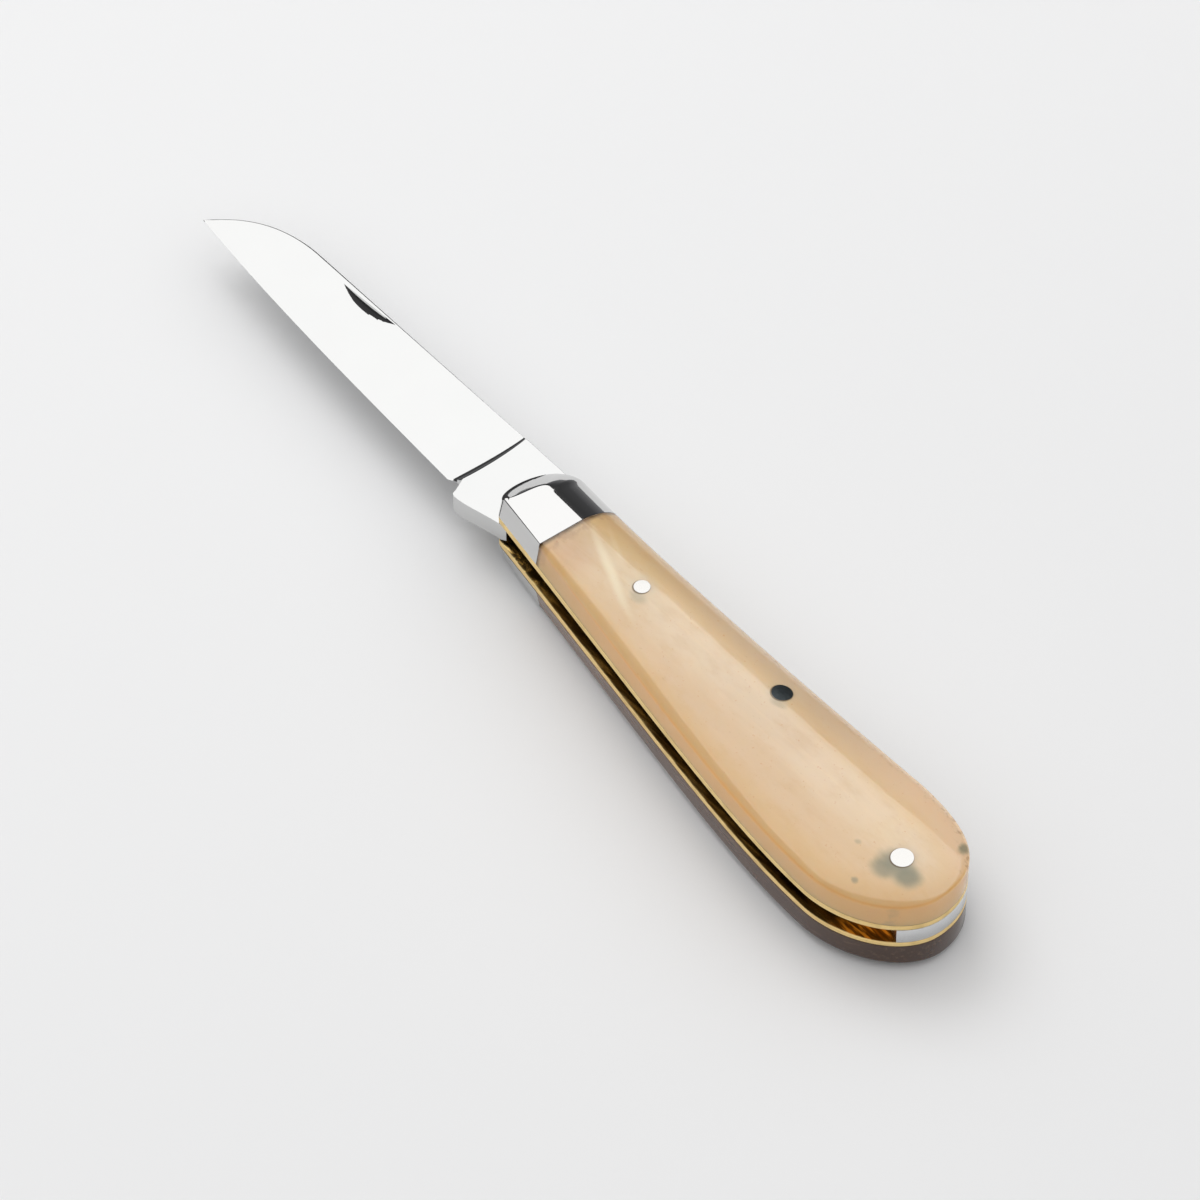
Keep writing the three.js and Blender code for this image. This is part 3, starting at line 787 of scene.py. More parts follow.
# painted glow: the walls' lighter colour
HORN_WALL_GLOW = linear(206, 158, 102)
# painted shade along the crease above the wall
HORN_CREASE_SHADE = linear(204, 142, 70)
HORN_KNOCK = linear(150, 112, 82)
HORN_FLECK = linear(196, 120, 80)
HORN_GREY = linear(138, 136, 114)
HORN_PORE = linear(158, 118, 78)
# painted glow: the walls' emission
HORN_LIGHT = (0.11, 0.06, 0.014)
HOLE_BROWN = linear(104, 78, 52)
GLUE = linear(74, 50, 36)
GLUE_SMUDGE = linear(160, 124, 100)
# painted shade in the gap where the horn meets the liner
GAP_SHADE_LINE = linear(84, 60, 38)
# the lower scale's brown, with painted shade that deepens towards the butt
BROWN_HORN_AND_SHADE = ((0.0, linear(122, 95, 78)), (0.4, linear(100, 74, 60)), (1.0, linear(62, 40, 29)))
BROWN_CLOUD = linear(84, 60, 44)
BROWN_FIBRE = linear(160, 128, 98)

# Soft marks on the horn: middle, radii, turn, and how soft or, for the grey ones, how deep
PINK_PATCH = ((10.0, -3.0), (6.0, 5.0), 0.2, 0.9)
CREAM_STREAKS = (((15.8, -1.6), (11.5, 1.0), -0.38, 0.9), ((12.2, 2.0), (5.4, 0.6), -0.42, 0.9))
# grey-green stains; those just below the pins are painted shade where the pins' shanks show through the horn
GREY_MARKS_AND_PIN_SHADE = (
    ((76.5, -5.2), (2.6, 2.2), 0.4, 0.9), ((74.0, -4.9), (3.4, 2.3), 0.2, 0.8),
    ((73.6, -6.6), (2.4, 1.9), 0.2, 0.75), ((77.3, 3.5), (1.1, 1.3), 0.3, 0.85),
    ((72.6, -10.3), (0.7, 0.6), 0.0, 0.6), ((78.4, -9.7), (1.8, 0.6), 0.9, 0.45),
    ((68.6, -6.2), (0.7, 0.6), 0.0, 0.35), ((45.6, 0.6), (1.7, 0.8), 0.3, 0.3),
    ((21.2, -1.7), (1.9, 1.2), 0.0, 0.32))

# Painted shade: the floor's tone falls between these two places, to this share
FLOOR_FALL = (-120.0, 130.0)
FLOOR_SHADE = 0.955


def new_finish(name):
    """An empty material and a field in mm about the pivot to build on."""
    material = bpy.data.materials.new(name)
    material.use_nodes = True
    material.node_tree.nodes.clear()
    root = Field(material.node_tree)
    place = root.node("ShaderNodeTexCoord", out="Object")
    place = root.node("ShaderNodeMapping", None, {
        "Vector": place, "Location": tuple(-HINGE / MM), "Scale": (1 / MM,) * 3})
    return material, place


def parts_of(place):
    """The x, y and z of a place."""
    x = place.node("ShaderNodeSeparateXYZ", None, {0: place})
    return x, x.beside(1), x.beside(2)


def stretched(place, scale, turn=0.0):
    return place.node("ShaderNodeMapping", None, {
        "Vector": place, "Rotation": (0, 0, turn), "Scale": scale})


def noise(place, scale, detail=3.0, rough=0.6, distortion=0.0):
    return place.node("ShaderNodeTexNoise", None, {
        "Vector": place, "Scale": scale, "Detail": detail, "Roughness": rough, "Distortion": distortion})


def bumped(height, strength, distance):
    return height.node("ShaderNodeBump", None, {"Height": height, "Strength": strength, "Distance": distance})


def surfaced(place, sockets):
    """The last nodes of every finish."""
    shader = place.node("ShaderNodeBsdfPrincipled", None, sockets)
    place.node("ShaderNodeOutputMaterial", None, {"Surface": shader})


def spot(x, y, centre, radii, turn, soft):
    """A soft oval mark: 1 in its middle and 0 outside."""
    cos, sin = math.cos(turn), math.sin(turn)
    x, y = x - centre[0], y - centre[1]
    along = (x * cos + y * sin) / radii[0]
    across = (y * cos - x * sin) / radii[1]
    return 1 - eased((along * along + across * across) ** 0.5, 1 - soft, 1.0)


def inner_height(x, z):
    """Height over the middle of the knife before the inner pieces were thinned to the butt."""
    return abs(z) / (1 - x * THINNING)


def along_handle(x, stops):
    """A colour that changes along the handle, from the joint to the butt."""
    return x.node("ShaderNodeValToRGB", {"stops": stops}, {"Fac": (x - HORN_START) / HORN_LENGTH})


def mirror_steel(name, tone, rough, lines=1.0):
    """Polished metal with the faint lengthwise lines and small marks of the buffing wheel."""
    material, place = new_finish(name)
    fine = noise(stretched(place, (0.25, 6.0, 6.0)), 3.0)
    cloud = noise(place, 0.12, 3.0, 0.55)
    marks = eased(noise(stretched(place, (0.5, 3.0, 3.0), 0.3), 2.2, 4.0, 0.7), 0.63, 0.78)
    colour = mixed(cloud, tuple(t * 0.965 for t in tone), tone)
    roughness = rough + cloud * (rough * 0.5) + fine * (rough * 0.35) + marks * 0.05
    normal = bumped(fine * 0.6 + marks * 0.4, 0.035 * lines, 0.00002)
    surfaced(place, {"Base Color": colour, "Metallic": 1.0, "Roughness": roughness, "Normal": normal})
    return material


def brass(name, tone):
    """Brass sheet, bright at its edges, stained, and with painted shade and painted glints on its inner face
    inside the well.
    """
    material, place = new_finish(name)
    x, _, z = parts_of(place)
    grain = noise(stretched(place, (0.4, 5.0, 5.0)), 2.0)
    stain = eased(noise(stretched(place, (0.5, 1.0, 1.0)), 0.55, 4.0, 0.62), 0.42, 0.66)
    spots = eased(noise(place, 2.6), 0.58, 0.7)
    inner = 1 - eased(inner_height(x, z), SPRING_HALF + 0.02, SPRING_HALF + 0.12)
    streaks = eased(noise(stretched(place, (0.12, 1.6, 1.6), 0.25), 1.4), 0.4, 0.62)
    front = 1 - eased(x, 4.0, 8.0)
    # painted glints: patches near the front where the painted shade lifts to bright brass
    glints = eased(noise(stretched(place, (0.5, 1.0, 1.0), 0.6), 1.1, 4.0, 0.65, 0.8), 0.46, 0.56) * front
    # painted shade over the inner face, lifted along the ground streaks and in the painted glints near the
    # front
    inner_shade = inner * (0.92 - 0.3 * streaks - 0.5 * glints)
    colour = layered(tone, (stain * 0.2, BRASS_WORN), (inner_shade, BRASS_INNER_SHADE), (inner * spots * 0.5, BRASS_SPOT),
                     (inner * front * (1 - glints) * 0.6, BRASS_DEEP_SHADE))
    # a painted amber glow, in slanting streaks, stands in for light that reaches the slot through the horn
    slants = eased(noise(stretched(place, (0.16, 1.2, 1.0), 0.2), 1.5), 0.44, 0.6)
    lit = inner * eased(x, *AMBER_FROM) * (0.1 + 0.9 * slants)
    surfaced(place, {
        "Base Color": colour, "Metallic": 0.55 + 0.45 * inner,
        "Roughness": 0.1 + stain * 0.08 + grain * 0.06 + 0.32 * (1 - inner),
        "Emission Color": mixed(lit, BLACK, AMBER_LIGHT), "Emission Strength": 1.0,
        "Normal": bumped(grain + stain * 0.5, 0.08, 0.00003)})
    return material


def spring_steel(name):
    material, place = new_finish(name)
    grain = noise(stretched(place, (0.35, 7.0, 7.0)), 2.5)
    tint = noise(stretched(place, (0.15, 1.0, 1.0)), 0.5)
    colour = mixed(tint, *SPRING_TONES)
    surfaced(place, {"Base Color": colour, "Metallic": 1.0, "Roughness": 0.2 + grain * 0.15,
                     "Normal": bumped(grain, 0.1, 0.00003)})
    return material


def dark_steel(name):
    material, place = new_finish(name)
    tint = noise(place, 1.6)
    lines = noise(stretched(place, (0.6, 6.0, 6.0), 0.8), 2.0)
    colour = mixed(tint, *DARK_TONES)
    surfaced(place, {"Base Color": colour, "Metallic": 1.0, "Roughness": 0.25 + lines * 0.2,
                     "Normal": bumped(lines, 0.1, 0.00002)})
    return material


def horn_body(x, y, warp, cloud, small, fibre):
    """The horn's own colours: clouds and fibres, deeper towards the slot, with cream streaks."""
    middle_y = MIDDLE_LINE[0] + MIDDLE_LINE[1] * x
    deeper = 1 - eased(y - middle_y + (cloud - 0.5) * 3.0, -4.5, 0.5)
    long_streak, short_streak = [spot(x, y + (warp - 0.5) * 1.5, *streak) for streak in CREAM_STREAKS]
    return layered(
        along_handle(x, LIGHT_HORN),
        (eased(cloud, 0.35, 0.65) * 0.5, HORN_CLOUD),
        (eased(small, 0.45, 0.75) * 0.25, HORN_HONEY),
        (eased(fibre, 0.5, 0.75) * 0.22, HORN_FIBRE),
        (deeper * 0.42, HORN_DEEP),
        (spot(x, y, *PINK_PATCH) * (0.2 + 0.35 * small), HORN_PINK),
        (long_streak * 0.72 + short_streak * 0.3, HORN_CREAM))


def horn_edges(colour, place, x, inward, back, glow):
    """Amber where the horn grows thin towards the slot, a painted glow on the walls, painted shade at the
    crease, and painted shade and knocks over the back.
    """
    slot_side = 1 - eased(inward - back * 0.4, 0.3, 1.0)
    rim = 1 - eased(inward, 0.0, 0.6)
    # painted shade over the back shoulder, where it turns from the softbox and mirrors the grey room
    back_shade = mixed(eased(x, 8.0, 40.0), HORN_BACK_SHADE[0], HORN_BACK_SHADE[1])
    back_shade = mixed(eased(x, 48.0, 70.0), back_shade, HORN_BACK_SHADE[2])
    # painted shade along the crease just above the wall, not over the back
    crease_shade = (1 - eased(abs(inward - 0.035), 0.0, 0.03)) * (1 - back)
    knocks = eased(noise(place, 1.1), 0.52, 0.66) * (1 - eased(inward, 0.02, 0.3)) * back
    return layered(
        colour,
        (slot_side * 0.4, HORN_AMBER),
        (rim * (0.12 - 0.08 * back), HORN_RIM),
        (back * (1 - eased(inward, 0.35, 0.95)) * 0.66, back_shade),
        # painted glow: the walls painted lighter
        (glow * 0.7, HORN_WALL_GLOW),
        (crease_shade * 0.3, HORN_CREASE_SHADE),
        (knocks * 0.5, HORN_KNOCK))


def horn_joint(colour, place, x, y, small, foot):
    """Brown where the horn was glued along the bolster, and a line of painted shade in the gap over the
    liner.
    """
    from_joint = x - y * math.tan(JOINT_LEAN) - BOLSTER_END_X
    joint = 1 - eased(from_joint + small * 0.6, 0.3, 1.2)
    smudge = eased(noise(place, 0.5), 0.5, 0.62) * (1 - eased(from_joint, 0.5, 3.0))
    return layered(colour, (joint * 0.9, GLUE), (smudge * 0.35, GLUE_SMUDGE), (foot * 0.8, GAP_SHADE_LINE))


def horn_marks(colour, place, x, y, cloud, small):
    """Flecks, grey-green marks that are partly painted shade below the pins, the shaded rim of each pin's
    hole, and pores.
    """
    flecks = eased(noise(place, 2.4, 2.0, 0.5), 0.7, 0.74)
    layers = [(flecks * 0.3, HORN_FLECK)]
    # grey-green stains, and painted shade just below the pins
    for centre, radii, turn, depth in GREY_MARKS_AND_PIN_SHADE:
        stain_and_shade = spot(x + (small - 0.5) * 1.6, y + (cloud - 0.5) * 1.2, centre, radii, turn, soft=0.75)
        layers.append((stain_and_shade * depth, HORN_GREY))
    for pin_x, pin_y, radius in (SCALE_RIVET, SPRING_PIN, BUTT_PIN):
        middle = (pin_x + HOLE_SHADE[0], pin_y + HOLE_SHADE[1])
        hole = spot(x, y, middle, (radius + HOLE_RIM, radius + HOLE_RIM), 0.0, soft=0.14)
        layers.append((hole * 0.75, HOLE_BROWN))
    pores = eased(noise(stretched(place, (0.5, 1.4, 1.4)), 3.2, 2.0, 0.5), 0.68, 0.78)
    return layered(colour, *layers, (pores * 0.18, HORN_PORE))


def light_horn(name):
    """Blond horn: cloudy, with cream streaks, amber edges, grey-green marks near the butt, and painted light:
    a glow on the walls and shade at the crease, over the back and below the pins.
    """
    material, place = new_finish(name)
    x, y, z = parts_of(place)
    inward = place.node("ShaderNodeAttribute", {"attribute_name": "inward"}, None, "Fac")
    warp = noise(place, 0.08, 2.0, 0.5)
    cloud = noise(stretched(place, (0.5, 1.0, 1.0)), 0.11, 4.0, 0.55, 0.6)
    small = noise(stretched(place, (0.45, 1.0, 1.0)), 0.5, 4.0, 0.6)
    fibre = noise(stretched(place, (0.06, 1.6, 1.6), -0.12), 0.9)
    foot = 1 - eased(inner_height(x, z), LINER_TOP + 0.06, LINER_TOP + 0.16)
    # painted glow: emission and a lighter colour on the walls stand in for light that runs in from the wall's
    # edge, less over the back and at both ends
    back = eased(y, -2.0, 4.0)
    glow = (1 - eased(inward, 0.0, 0.12)) * (0.35 + 0.65 * eased(x, 6.0, 24.0))
    glow = glow * (1 - 0.4 * eased(x, 48.0, 68.0)) * (1 - 0.6 * back)
    colour = horn_body(x, y, warp, cloud, small, fibre)
    colour = horn_edges(colour, place, x, inward, back, glow)
    colour = horn_joint(colour, place, x, y, small, foot)
    colour = horn_marks(colour, place, x, y, cloud, small)
    surfaced(place, {
        "Base Color": colour, "Roughness": 0.02 + small * 0.04, "IOR": 1.56,
        "Normal": bumped(small * 0.7 + fibre * 0.3, 0.05, 0.00004),
        "Emission Color": mixed(glow * (1 - foot), BLACK, HORN_LIGHT), "Emission Strength": 1.0,
        "Subsurface Weight": 0.85, "Subsurface Radius": (1.0, 0.78, 0.55), "Subsurface Scale": 0.003})
    return material


def brown_horn(name):
    """The lower scale: the same horn, darker and browner, with painted shade that deepens towards the butt.
    """
    material, place = new_finish(name)
    x = parts_of(place)[0]
    cloud = noise(stretched(place, (0.4, 1.0, 1.0)), 0.16, 4.0, 0.55, 0.4)
    fibre = noise(stretched(place, (0.06, 1.6, 1.6)), 1.1)
    colour = layered(along_handle(x, BROWN_HORN_AND_SHADE), (eased(cloud, 0.35, 0.7) * 0.4, BROWN_CLOUD),
                     (eased(fibre, 0.5, 0.8) * 0.22, BROWN_FIBRE))
    surfaced(place, {
        "Base Color": colour, "Roughness": 0.1 + cloud * 0.06, "IOR": 1.55,
        "Normal": bumped(fibre, 0.05, 0.00004),
        "Subsurface Weight": 0.1, "Subsurface Radius": (1.0, 0.5, 0.25), "Subsurface Scale": 0.002})
    return material


def floor_finish(name, tone):
    """Pale paper, with painted shade that makes it a little darker towards the butt."""
    material, place = new_finish(name)
    x = parts_of(place)[0]
    cloud = noise(place, 0.01, 2.0, 0.5)
    grain = noise(place, 1.5, 2.0, 0.5)
    surfaced(place, {
        "Base Color": mixed(eased(x + cloud * 10, *FLOOR_FALL), tone, tuple(t * FLOOR_SHADE for t in tone)),
        "Roughness": 0.75, "Specular IOR Level": 0.2, "Normal": bumped(grain, 0.02, 0.0001)})
    return material


# Node trees that make shapes


def tree_with(name, inputs):
    """A new shape tree: a field to build on, and its named inputs as fields."""
    tree = bpy.data.node_groups.new(name, "GeometryNodeTree")
    for label, kind, default in inputs:
        socket = tree.interface.new_socket(label, in_out="INPUT", socket_type=kind)
        if default is not None:
            socket.default_value = default
    tree.interface.new_socket(name, in_out="OUTPUT", socket_type="NodeSocketGeometry")
    root = Field(tree)
    group = root.node("NodeGroupInput")
    return root, {label: group.beside(label) for label, _, _ in inputs}


def tree_end(shape, finish):
    """The end of every shape tree: real geometry with its finish on."""
    shape = shape.node("GeometryNodeRealizeInstances", None, {"Geometry": shape})
    shape = shape.node("GeometryNodeSetMaterial", None, {"Geometry": shape, "Material": finish})
    shape.node("NodeGroupOutput", None, {0: shape})


def pin_tree():
    """Sets a round pin with slightly domed ends on every given place."""
    root, given = tree_with("Pins", (
        ("Places", "NodeSocketGeometry", None),
        ("Radius", "NodeSocketFloat", BUTT_PIN[2] * MM),
        ("Length", "NodeSocketFloat", 2 * HALF_THICK * MM),
        ("Dome", "NodeSocketFloat", 0.0),
        ("Sides", "NodeSocketInt", PIN_SIDES),
        ("Finish", "NodeSocketMaterial", None)))
    rod = root.node("GeometryNodeMeshCylinder", None, {
        "Vertices": given["Sides"], "Fill Segments": PIN_RINGS, "Radius": given["Radius"],
        "Depth": given["Length"]})
    x, y, _ = parts_of(root.node("GeometryNodeInputPosition"))
    reach = (x * x + y * y) / (given["Radius"] * given["Radius"])
    rise = (1 - reach) * given["Dome"]
    shape = rod
    for end, way in (("Top", 1.0), ("Bottom", -1.0)):
        lift = root.node("ShaderNodeCombineXYZ", None, {2: rise * way})
        shape = root.node("GeometryNodeSetPosition", None, {
            "Geometry": shape, "Selection": rod.beside(end), "Offset": lift})
    shape = root.node("GeometryNodeInstanceOnPoints", None, {"Points": given["Places"], "Instance": shape})
    tree_end(shape, given["Finish"])
    return root.tree


def sheet_tree():
    """Cuts a flat sheet to a given outline and gives it its thickness, thinner towards the butt."""
    root, given = tree_with("Sheet", (
        ("Outline", "NodeSocketGeometry", None),
        ("Low", "NodeSocketFloat", SPRING_HALF * MM),
        ("Thickness", "NodeSocketFloat", (LINER_TOP - SPRING_HALF) * MM),
        ("Thinning", "NodeSocketFloat", THINNING / MM),
        ("Finish", "NodeSocketMaterial", None)))
    curve = root.node("GeometryNodeMeshToCurve", None, {"Mesh": given["Outline"]})
    face = root.node("GeometryNodeFillCurve", {"mode": "NGONS"}, {"Curve": curve})
    lift = root.node("ShaderNodeCombineXYZ", None, {2: given["Low"]})
    low = root.node("GeometryNodeTransform", None, {"Geometry": face, "Translation": lift})
    raised = root.node("GeometryNodeExtrudeMesh", None, {
        "Mesh": low, "Offset": (0, 0, 1), "Offset Scale": given["Thickness"], "Individual": False})
    under = root.node("GeometryNodeFlipFaces", None, {"Mesh": low})
    join = root.node("GeometryNodeJoinGeometry")
    for part in (raised, under):
        root.tree.links.new(part.socket, join.socket.node.inputs[0])
    shape = root.node("GeometryNodeMergeByDistance", None, {"Geometry": join, "Distance": MERGE_FINE})
    x, y, z = parts_of(root.node("GeometryNodeInputPosition"))
    height = (z - HINGE.z) * (1 - given["Thinning"] * (x - HINGE.x)) + HINGE.z
    place = root.node("ShaderNodeCombineXYZ", None, {0: x, 1: y, 2: height})
    shape = root.node("GeometryNodeSetPosition", None, {"Geometry": shape, "Position": place})
    tree_end(shape, given["Finish"])
    return root.tree


def grown(name, base, tree, values):
    """Runs a shape tree on a base mesh and keeps the plain result."""
    piece = new_piece(name, base)
    growth = piece.modifiers.new("shape", "NODES")
    growth.node_group = tree
    for item in tree.interface.items_tree:
        if item.in_out == "INPUT" and item.name in values:
            growth[item.identifier] = values[item.name]
    applied(piece)
    return piece


# Settings


class KnifeSizes(bpy.types.PropertyGroup):
    """Sizes of the small things that the solids leave plain."""

    pin_dome: bpy.props.FloatProperty(
        name="Pin dome", description="How far the middle of a pin's head stands proud",
        default=0.000015, min=0.0, max=0.0003, unit="LENGTH", precision=6)
    sheet_edge: bpy.props.FloatProperty(
        name="Sheet edge", description="Rounding of the liners' and spring's edges",
        default=0.00009, min=0.0, max=0.0003, unit="LENGTH", precision=6)


class KnifeColours(bpy.types.PropertyGroup):
    """Colours of the metals and the floor."""

    steel: bpy.props.FloatVectorProperty(
        name="Blade steel", description="Colour of the mirror-polished blade",
        default=(0.62, 0.623, 0.62), size=3, subtype="COLOR", min=0.0, max=1.0)
    bolster: bpy.props.FloatVectorProperty(
        name="Bolster", description="Colour of the nickel silver bolsters",
        default=(0.64, 0.637, 0.632), size=3, subtype="COLOR", min=0.0, max=1.0)
    brass: bpy.props.FloatVectorProperty(
        name="Brass", description="Colour of the liners",
        default=(1.0, 0.74, 0.32), size=3, subtype="COLOR", min=0.0, max=1.0)
    floor: bpy.props.FloatVectorProperty(
        name="Floor", description="Colour of the floor",
        default=(0.83, 0.832, 0.838), size=3, subtype="COLOR", min=0.0, max=1.0)


class KnifeLight(bpy.types.PropertyGroup):
    """Strength of the studio light."""

    softbox: bpy.props.FloatProperty(
        name="Softbox", description="Brightness of the face of the large overhead softbox",
        default=1.45, min=0.0, max=20.0)
    fill: bpy.props.FloatProperty(
        name="Fill", description="Brightness of the softer light that polished metal doesn't mirror",
        default=0.89, min=0.0, max=20.0)
    behind: bpy.props.FloatProperty(
        name="Back light", description="Brightness of the lamp behind, whose shadow falls towards the camera",
        default=2.05, min=0.0, max=20.0)
    room: bpy.props.FloatProperty(
        name="Room", description="Brightness of the room overhead",
        default=0.5, min=0.0, max=5.0)


# Pieces


class KNIFE_OT_blade(bpy.types.Operator):
    """Grinds the blade with its plunge, nail nick, tang and kick"""

    bl_idname = "knife.blade"
    bl_label = "Blade"

    def execute(self, context):
        piece = new_piece("blade_fine", blade_mesh())
        carved(piece, nick_cutter())
        hole = PIVOT[2] + PIVOT_CLEAR
        carved(piece, round_cutter((hole, hole), PIVOT_LENGTH, PIN_SIDES))
        material = mirror_steel("mirror_blade", tuple(context.scene.knife_colours.steel), 0.03)
        finished(piece, "blade", ("blade",), material, sharp=22)
        return {"FINISHED"}


class KNIFE_OT_bolsters(bpy.types.Operator):
    """Files the two bolsters, with the bolster rivets ground flush and lost in them"""

    bl_idname = "knife.bolsters"
    bl_label = "Bolsters"

    def execute(self, context):
        material = mirror_steel("mirror_bolster", tuple(context.scene.knife_colours.bolster), 0.035)
        for side, up in (("top", 1), ("bottom", -1)):
            piece = side_piece(f"{side}_bolster_fine", up, True)
            finished(piece, "handle",
                     (f"{side}_bolster", f"{side}_bolster_rivet"), material, sharp=30)
        return {"FINISHED"}


class KNIFE_OT_scales(bpy.types.Operator):
    """Shapes the two horn scales"""

    bl_idname = "knife.scales"
    bl_label = "Scales"

    def execute(self, context):
        for side, up, material in (
                ("top", 1, light_horn("light_horn")), ("bottom", -1, brown_horn("brown_horn"))):
            piece = side_piece(f"{side}_scale_fine", up, False)
            finished(piece, "handle", (f"{side}_scale",), material, sharp=40)
        return {"FINISHED"}


class KNIFE_OT_liners(bpy.types.Operator):
    """Cuts the two brass liners"""

    bl_idname = "knife.liners"
    bl_label = "Liners"

    def execute(self, context):
        tree = sheet_tree()
        material = brass("brass_sheet", tuple(context.scene.knife_colours.brass))
        places = [(x, y, 0) for x, y in outline_edge()]
        edges = [(i, (i + 1) % len(places)) for i in range(len(places))]
        for side, low in (("top", SPRING_HALF), ("bottom", -LINER_TOP)):
            base = mesh_of(f"{side}_liner_outline", places, edges=edges)
            piece = grown(f"{side}_liner_fine", base, tree, {
                "Low": HINGE.z + low * MM, "Thickness": (LINER_TOP - SPRING_HALF) * MM,
                "Thinning": THINNING / MM, "Finish": material})
            softened(piece, context.scene.knife_sizes.sheet_edge)
            finished(piece, "handle", (f"{side}_liner",), material)
        return {"FINISHED"}


class KNIFE_OT_spring(bpy.types.Operator):
    """Cuts the back spring"""

    bl_idname = "knife.spring"
    bl_label = "Back spring"

    def execute(self, context):
        body = plate("backspring_fine", outline_edge(), -SPRING_HALF, SPRING_HALF)
        piece = new_piece(body.name, body)
        carved(piece, plate("room", well_edge(), -WELL_REACH, WELL_REACH))
        softened(piece, context.scene.knife_sizes.sheet_edge)
        finished(piece, "handle", ("backspring",), spring_steel("polished_spring"))
        return {"FINISHED"}


class KNIFE_OT_pins(bpy.types.Operator):
    """Rivets the pins"""

    bl_idname = "knife.pins"
    bl_label = "Pins"

    def execute(self, context):
        tree = pin_tree()
        bright = mirror_steel("bright_pin", PIN_TONE, 0.09, lines=2.0)
        dark = dark_steel("dark_pin_steel")
        pin_dome = context.scene.knife_sizes.pin_dome
        dome = pin_dome / MM
        reach = 2 * (HALF_THICK - dome)
        rivet_low = SPRING_HALF * thinness(SCALE_RIVET[0]) + RIVET_CLEAR
        rivet = flat_top(SCALE_RIVET[0]) + dome - rivet_low
        rivet_z = rivet_low + rivet / 2
        pins = (
            ("pivot_pin_fine", PIVOT, (0.0,), PIVOT_LENGTH, bright, "pin_metal", ("pivot_pin",)),
            ("spring_pin_fine", SPRING_PIN, (0.0,), reach, dark, "dark_pin", ("spring_pin",)),
            ("butt_pin_fine", BUTT_PIN, (0.0,), reach, bright, "pin_metal", ("butt_pin",)),
            ("scale_rivets_fine", SCALE_RIVET, (rivet_z, -rivet_z), rivet, bright, "pin_metal",
             ("top_scale_rivet", "bottom_scale_rivet")),
        )
        shell = side_shell("filing_guide", 1, False)
        for name, (x, y, radius), heights, length, material, slot, replaced in pins:
            base = mesh_of(f"{name}_places", [(x, y, z) for z in heights])
            piece = grown(name, base, tree, {
                "Radius": radius * MM, "Length": length * MM, "Dome": pin_dome, "Finish": material})
            filed(piece, shell)
            finished(piece, "handle", replaced, material)
        bpy.data.meshes.remove(shell)
        return {"FINISHED"}


# Stage

# Places in metres: the origin lies on the floor, under the middle of the knife
LOOK_FROM = Vector((0.39065, -0.31735, 0.59876))
LOOK_AT = Vector((0.009577, 0.001135, 0.0069))
AWAY = Vector((-0.7673, 0.6413, 0))     # the camera's way over the floor
RIGHT = Vector((0.6413, 0.7673, 0))     # and its right hand
LENS = 180                   # in mm
SENSOR = 36                  # in mm
CLIP_START = 0.01
FLOOR_REACH = 3.0
FLOOR_CELLS = 8
# Lamps: how far away and to the right of the knife, how high, and their width and depth
OVERHEAD = (0.28, 0.12, 0.85, 1.5, 1.2)
BACK_LIGHT = (0.65, -0.42, 1.05, 0.9, 0.8)
FILL = (0.3, 0.15, 1.2, 5.6, 5.0)
LAMP_COLOUR = (1, 0.998, 0.993)
# The room's light from level to straight up
ROOM = (
    (0.0, (0.5, 0.5, 0.51)), (0.12, (0.3, 0.3, 0.31)), (0.3, (0.15, 0.15, 0.156)),
    (0.55, (0.11, 0.11, 0.113)), (0.9, (0.2, 0.2, 0.2)))


def add_softbox(name, sizes, brightness, at_knife=False):
    """A rectangular lamp that shines straight down, or at the knife."""
    away, right, height, width, depth = sizes
    lamp = bpy.data.lights.new(name, "AREA")
    lamp.shape = "RECTANGLE"
    lamp.size = width
    lamp.size_y = depth
    lamp.energy = brightness * math.pi * width * depth
    lamp.color = LAMP_COLOUR
    holder = bpy.data.objects.new(name, lamp)
    bpy.context.scene.collection.objects.link(holder)
    middle = AWAY * away + RIGHT * right + Vector((0, 0, height))
    down = -middle.normalized() if at_knife else Vector((0, 0, -1))
    side = (RIGHT - down * RIGHT.dot(down)).normalized()
    turn = Matrix((side, side.cross(down), -down)).transposed().to_quaternion()
    holder.matrix_world = Matrix.LocRotScale(middle, turn, None)
    return holder


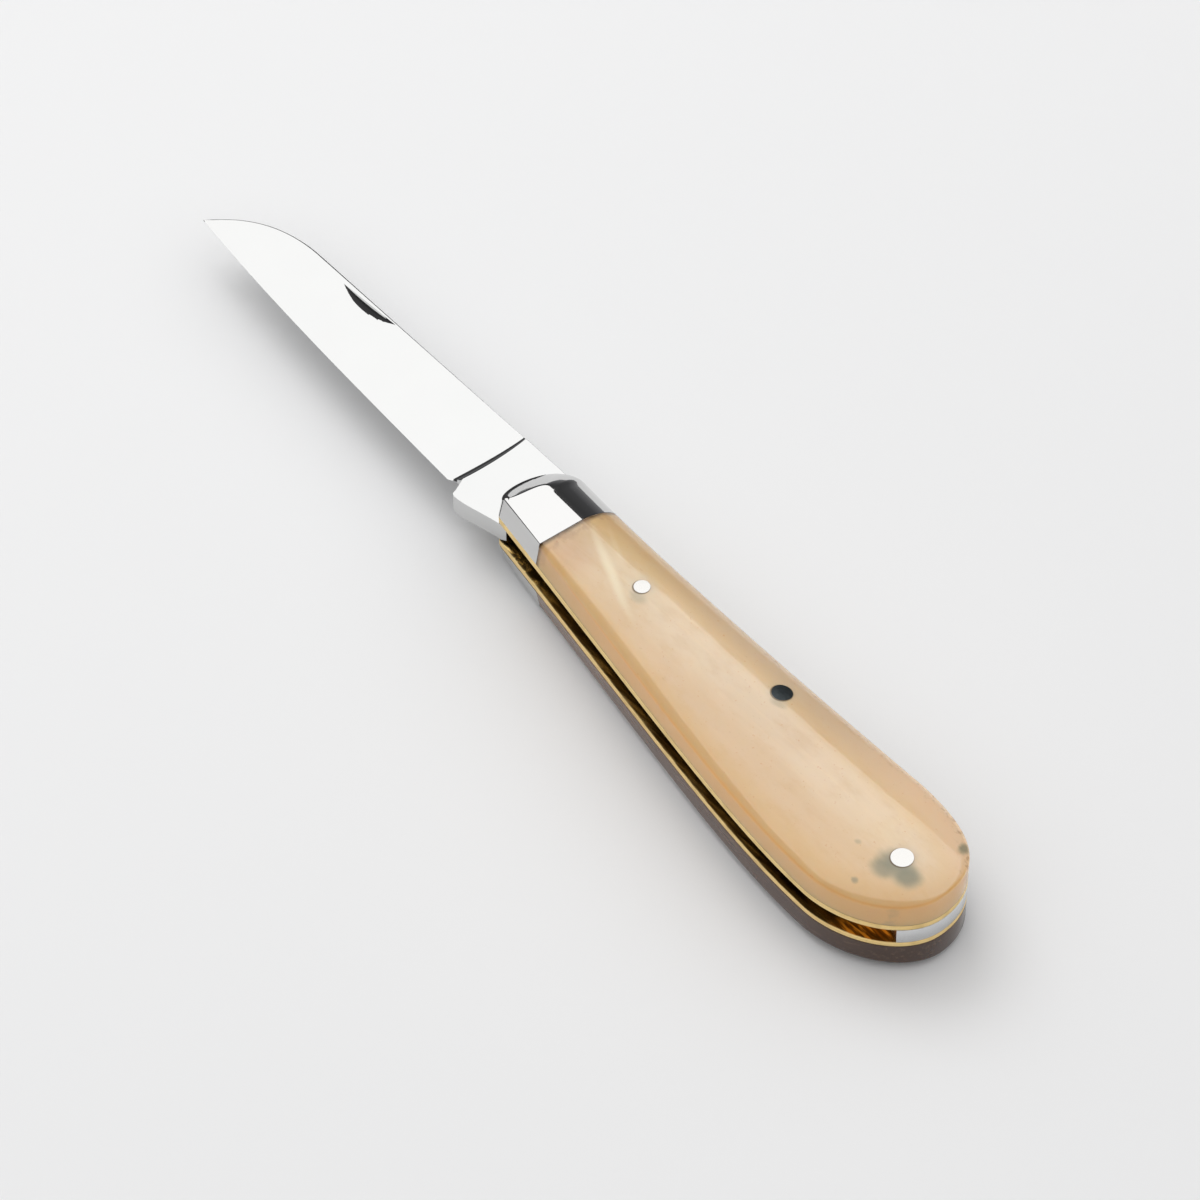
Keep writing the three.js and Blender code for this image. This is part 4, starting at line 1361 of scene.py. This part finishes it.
class KNIFE_OT_stage(bpy.types.Operator):
    """Lays the pale floor and sets up the lights and the camera"""

    bl_idname = "knife.stage"
    bl_label = "Stage"

    def execute(self, context):
        scene = context.scene
        scene.view_settings.view_transform = "Standard"
        mesh = bpy.data.meshes.new("floor")
        with worked(mesh) as work:
            bmesh.ops.create_grid(work, x_segments=FLOOR_CELLS, y_segments=FLOOR_CELLS, size=FLOOR_REACH)
        floor = new_piece("floor", mesh)
        mesh.materials.append(floor_finish("floor_paper", tuple(scene.knife_colours.floor)))

        # the overhead lamp shows only in mirrors, and the other two only outside them
        light = scene.knife_light
        add_softbox("overhead", OVERHEAD, light.softbox).visible_diffuse = False
        add_softbox("back_light", BACK_LIGHT, light.behind, at_knife=True).visible_glossy = False
        add_softbox("fill", FILL, light.fill).visible_glossy = False

        world = bpy.data.worlds.new("room")
        scene.world = world
        world.use_nodes = True
        world.node_tree.nodes.clear()
        root = Field(world.node_tree)
        up = parts_of(root.node("ShaderNodeTexCoord", out="Generated"))[2]
        glow = root.node("ShaderNodeValToRGB", {"stops": ROOM}, {"Fac": up})
        back = root.node("ShaderNodeBackground", None, {"Color": glow, "Strength": light.room})
        root.node("ShaderNodeOutputWorld", None, {"Surface": back})

        eye = bpy.data.cameras.new("camera")
        eye.lens = LENS
        eye.sensor_width = SENSOR
        eye.clip_start = CLIP_START
        holder = bpy.data.objects.new("camera", eye)
        scene.collection.objects.link(holder)
        holder.location = LOOK_FROM
        holder.rotation_euler = (LOOK_AT - LOOK_FROM).to_track_quat("-Z", "Y").to_euler()
        scene.camera = holder
        return {"FINISHED"}


STEPS = (KNIFE_OT_blade, KNIFE_OT_bolsters, KNIFE_OT_scales, KNIFE_OT_liners,
         KNIFE_OT_spring, KNIFE_OT_pins, KNIFE_OT_stage)


class KNIFE_PT_panel(bpy.types.Panel):
    """Lists the pieces and their settings"""

    bl_label = "Pocket Knife"
    bl_idname = "KNIFE_PT_panel"
    bl_space_type = "VIEW_3D"
    bl_region_type = "UI"
    bl_category = "Knife"

    def draw(self, context):
        for step in STEPS:
            self.layout.operator(step.bl_idname)
        for group in (context.scene.knife_sizes, context.scene.knife_colours, context.scene.knife_light):
            for key in group.__annotations__:
                self.layout.prop(group, key)


GROUPS = (("knife_sizes", KnifeSizes), ("knife_colours", KnifeColours), ("knife_light", KnifeLight))


def register():
    for name, group in GROUPS:
        bpy.utils.register_class(group)
        setattr(bpy.types.Scene, name, bpy.props.PointerProperty(type=group))
    for step in (*STEPS, KNIFE_PT_panel):
        bpy.utils.register_class(step)


def unregister():
    for step in (KNIFE_PT_panel, *reversed(STEPS)):
        bpy.utils.unregister_class(step)
    for name, group in reversed(GROUPS):
        delattr(bpy.types.Scene, name)
        bpy.utils.unregister_class(group)


def main():
    register()
    bpy.ops.knife.blade()
    bpy.ops.knife.bolsters()
    bpy.ops.knife.scales()
    bpy.ops.knife.liners()
    bpy.ops.knife.spring()
    bpy.ops.knife.pins()
    bpy.ops.knife.stage()


if __name__ == "__main__":
    main()
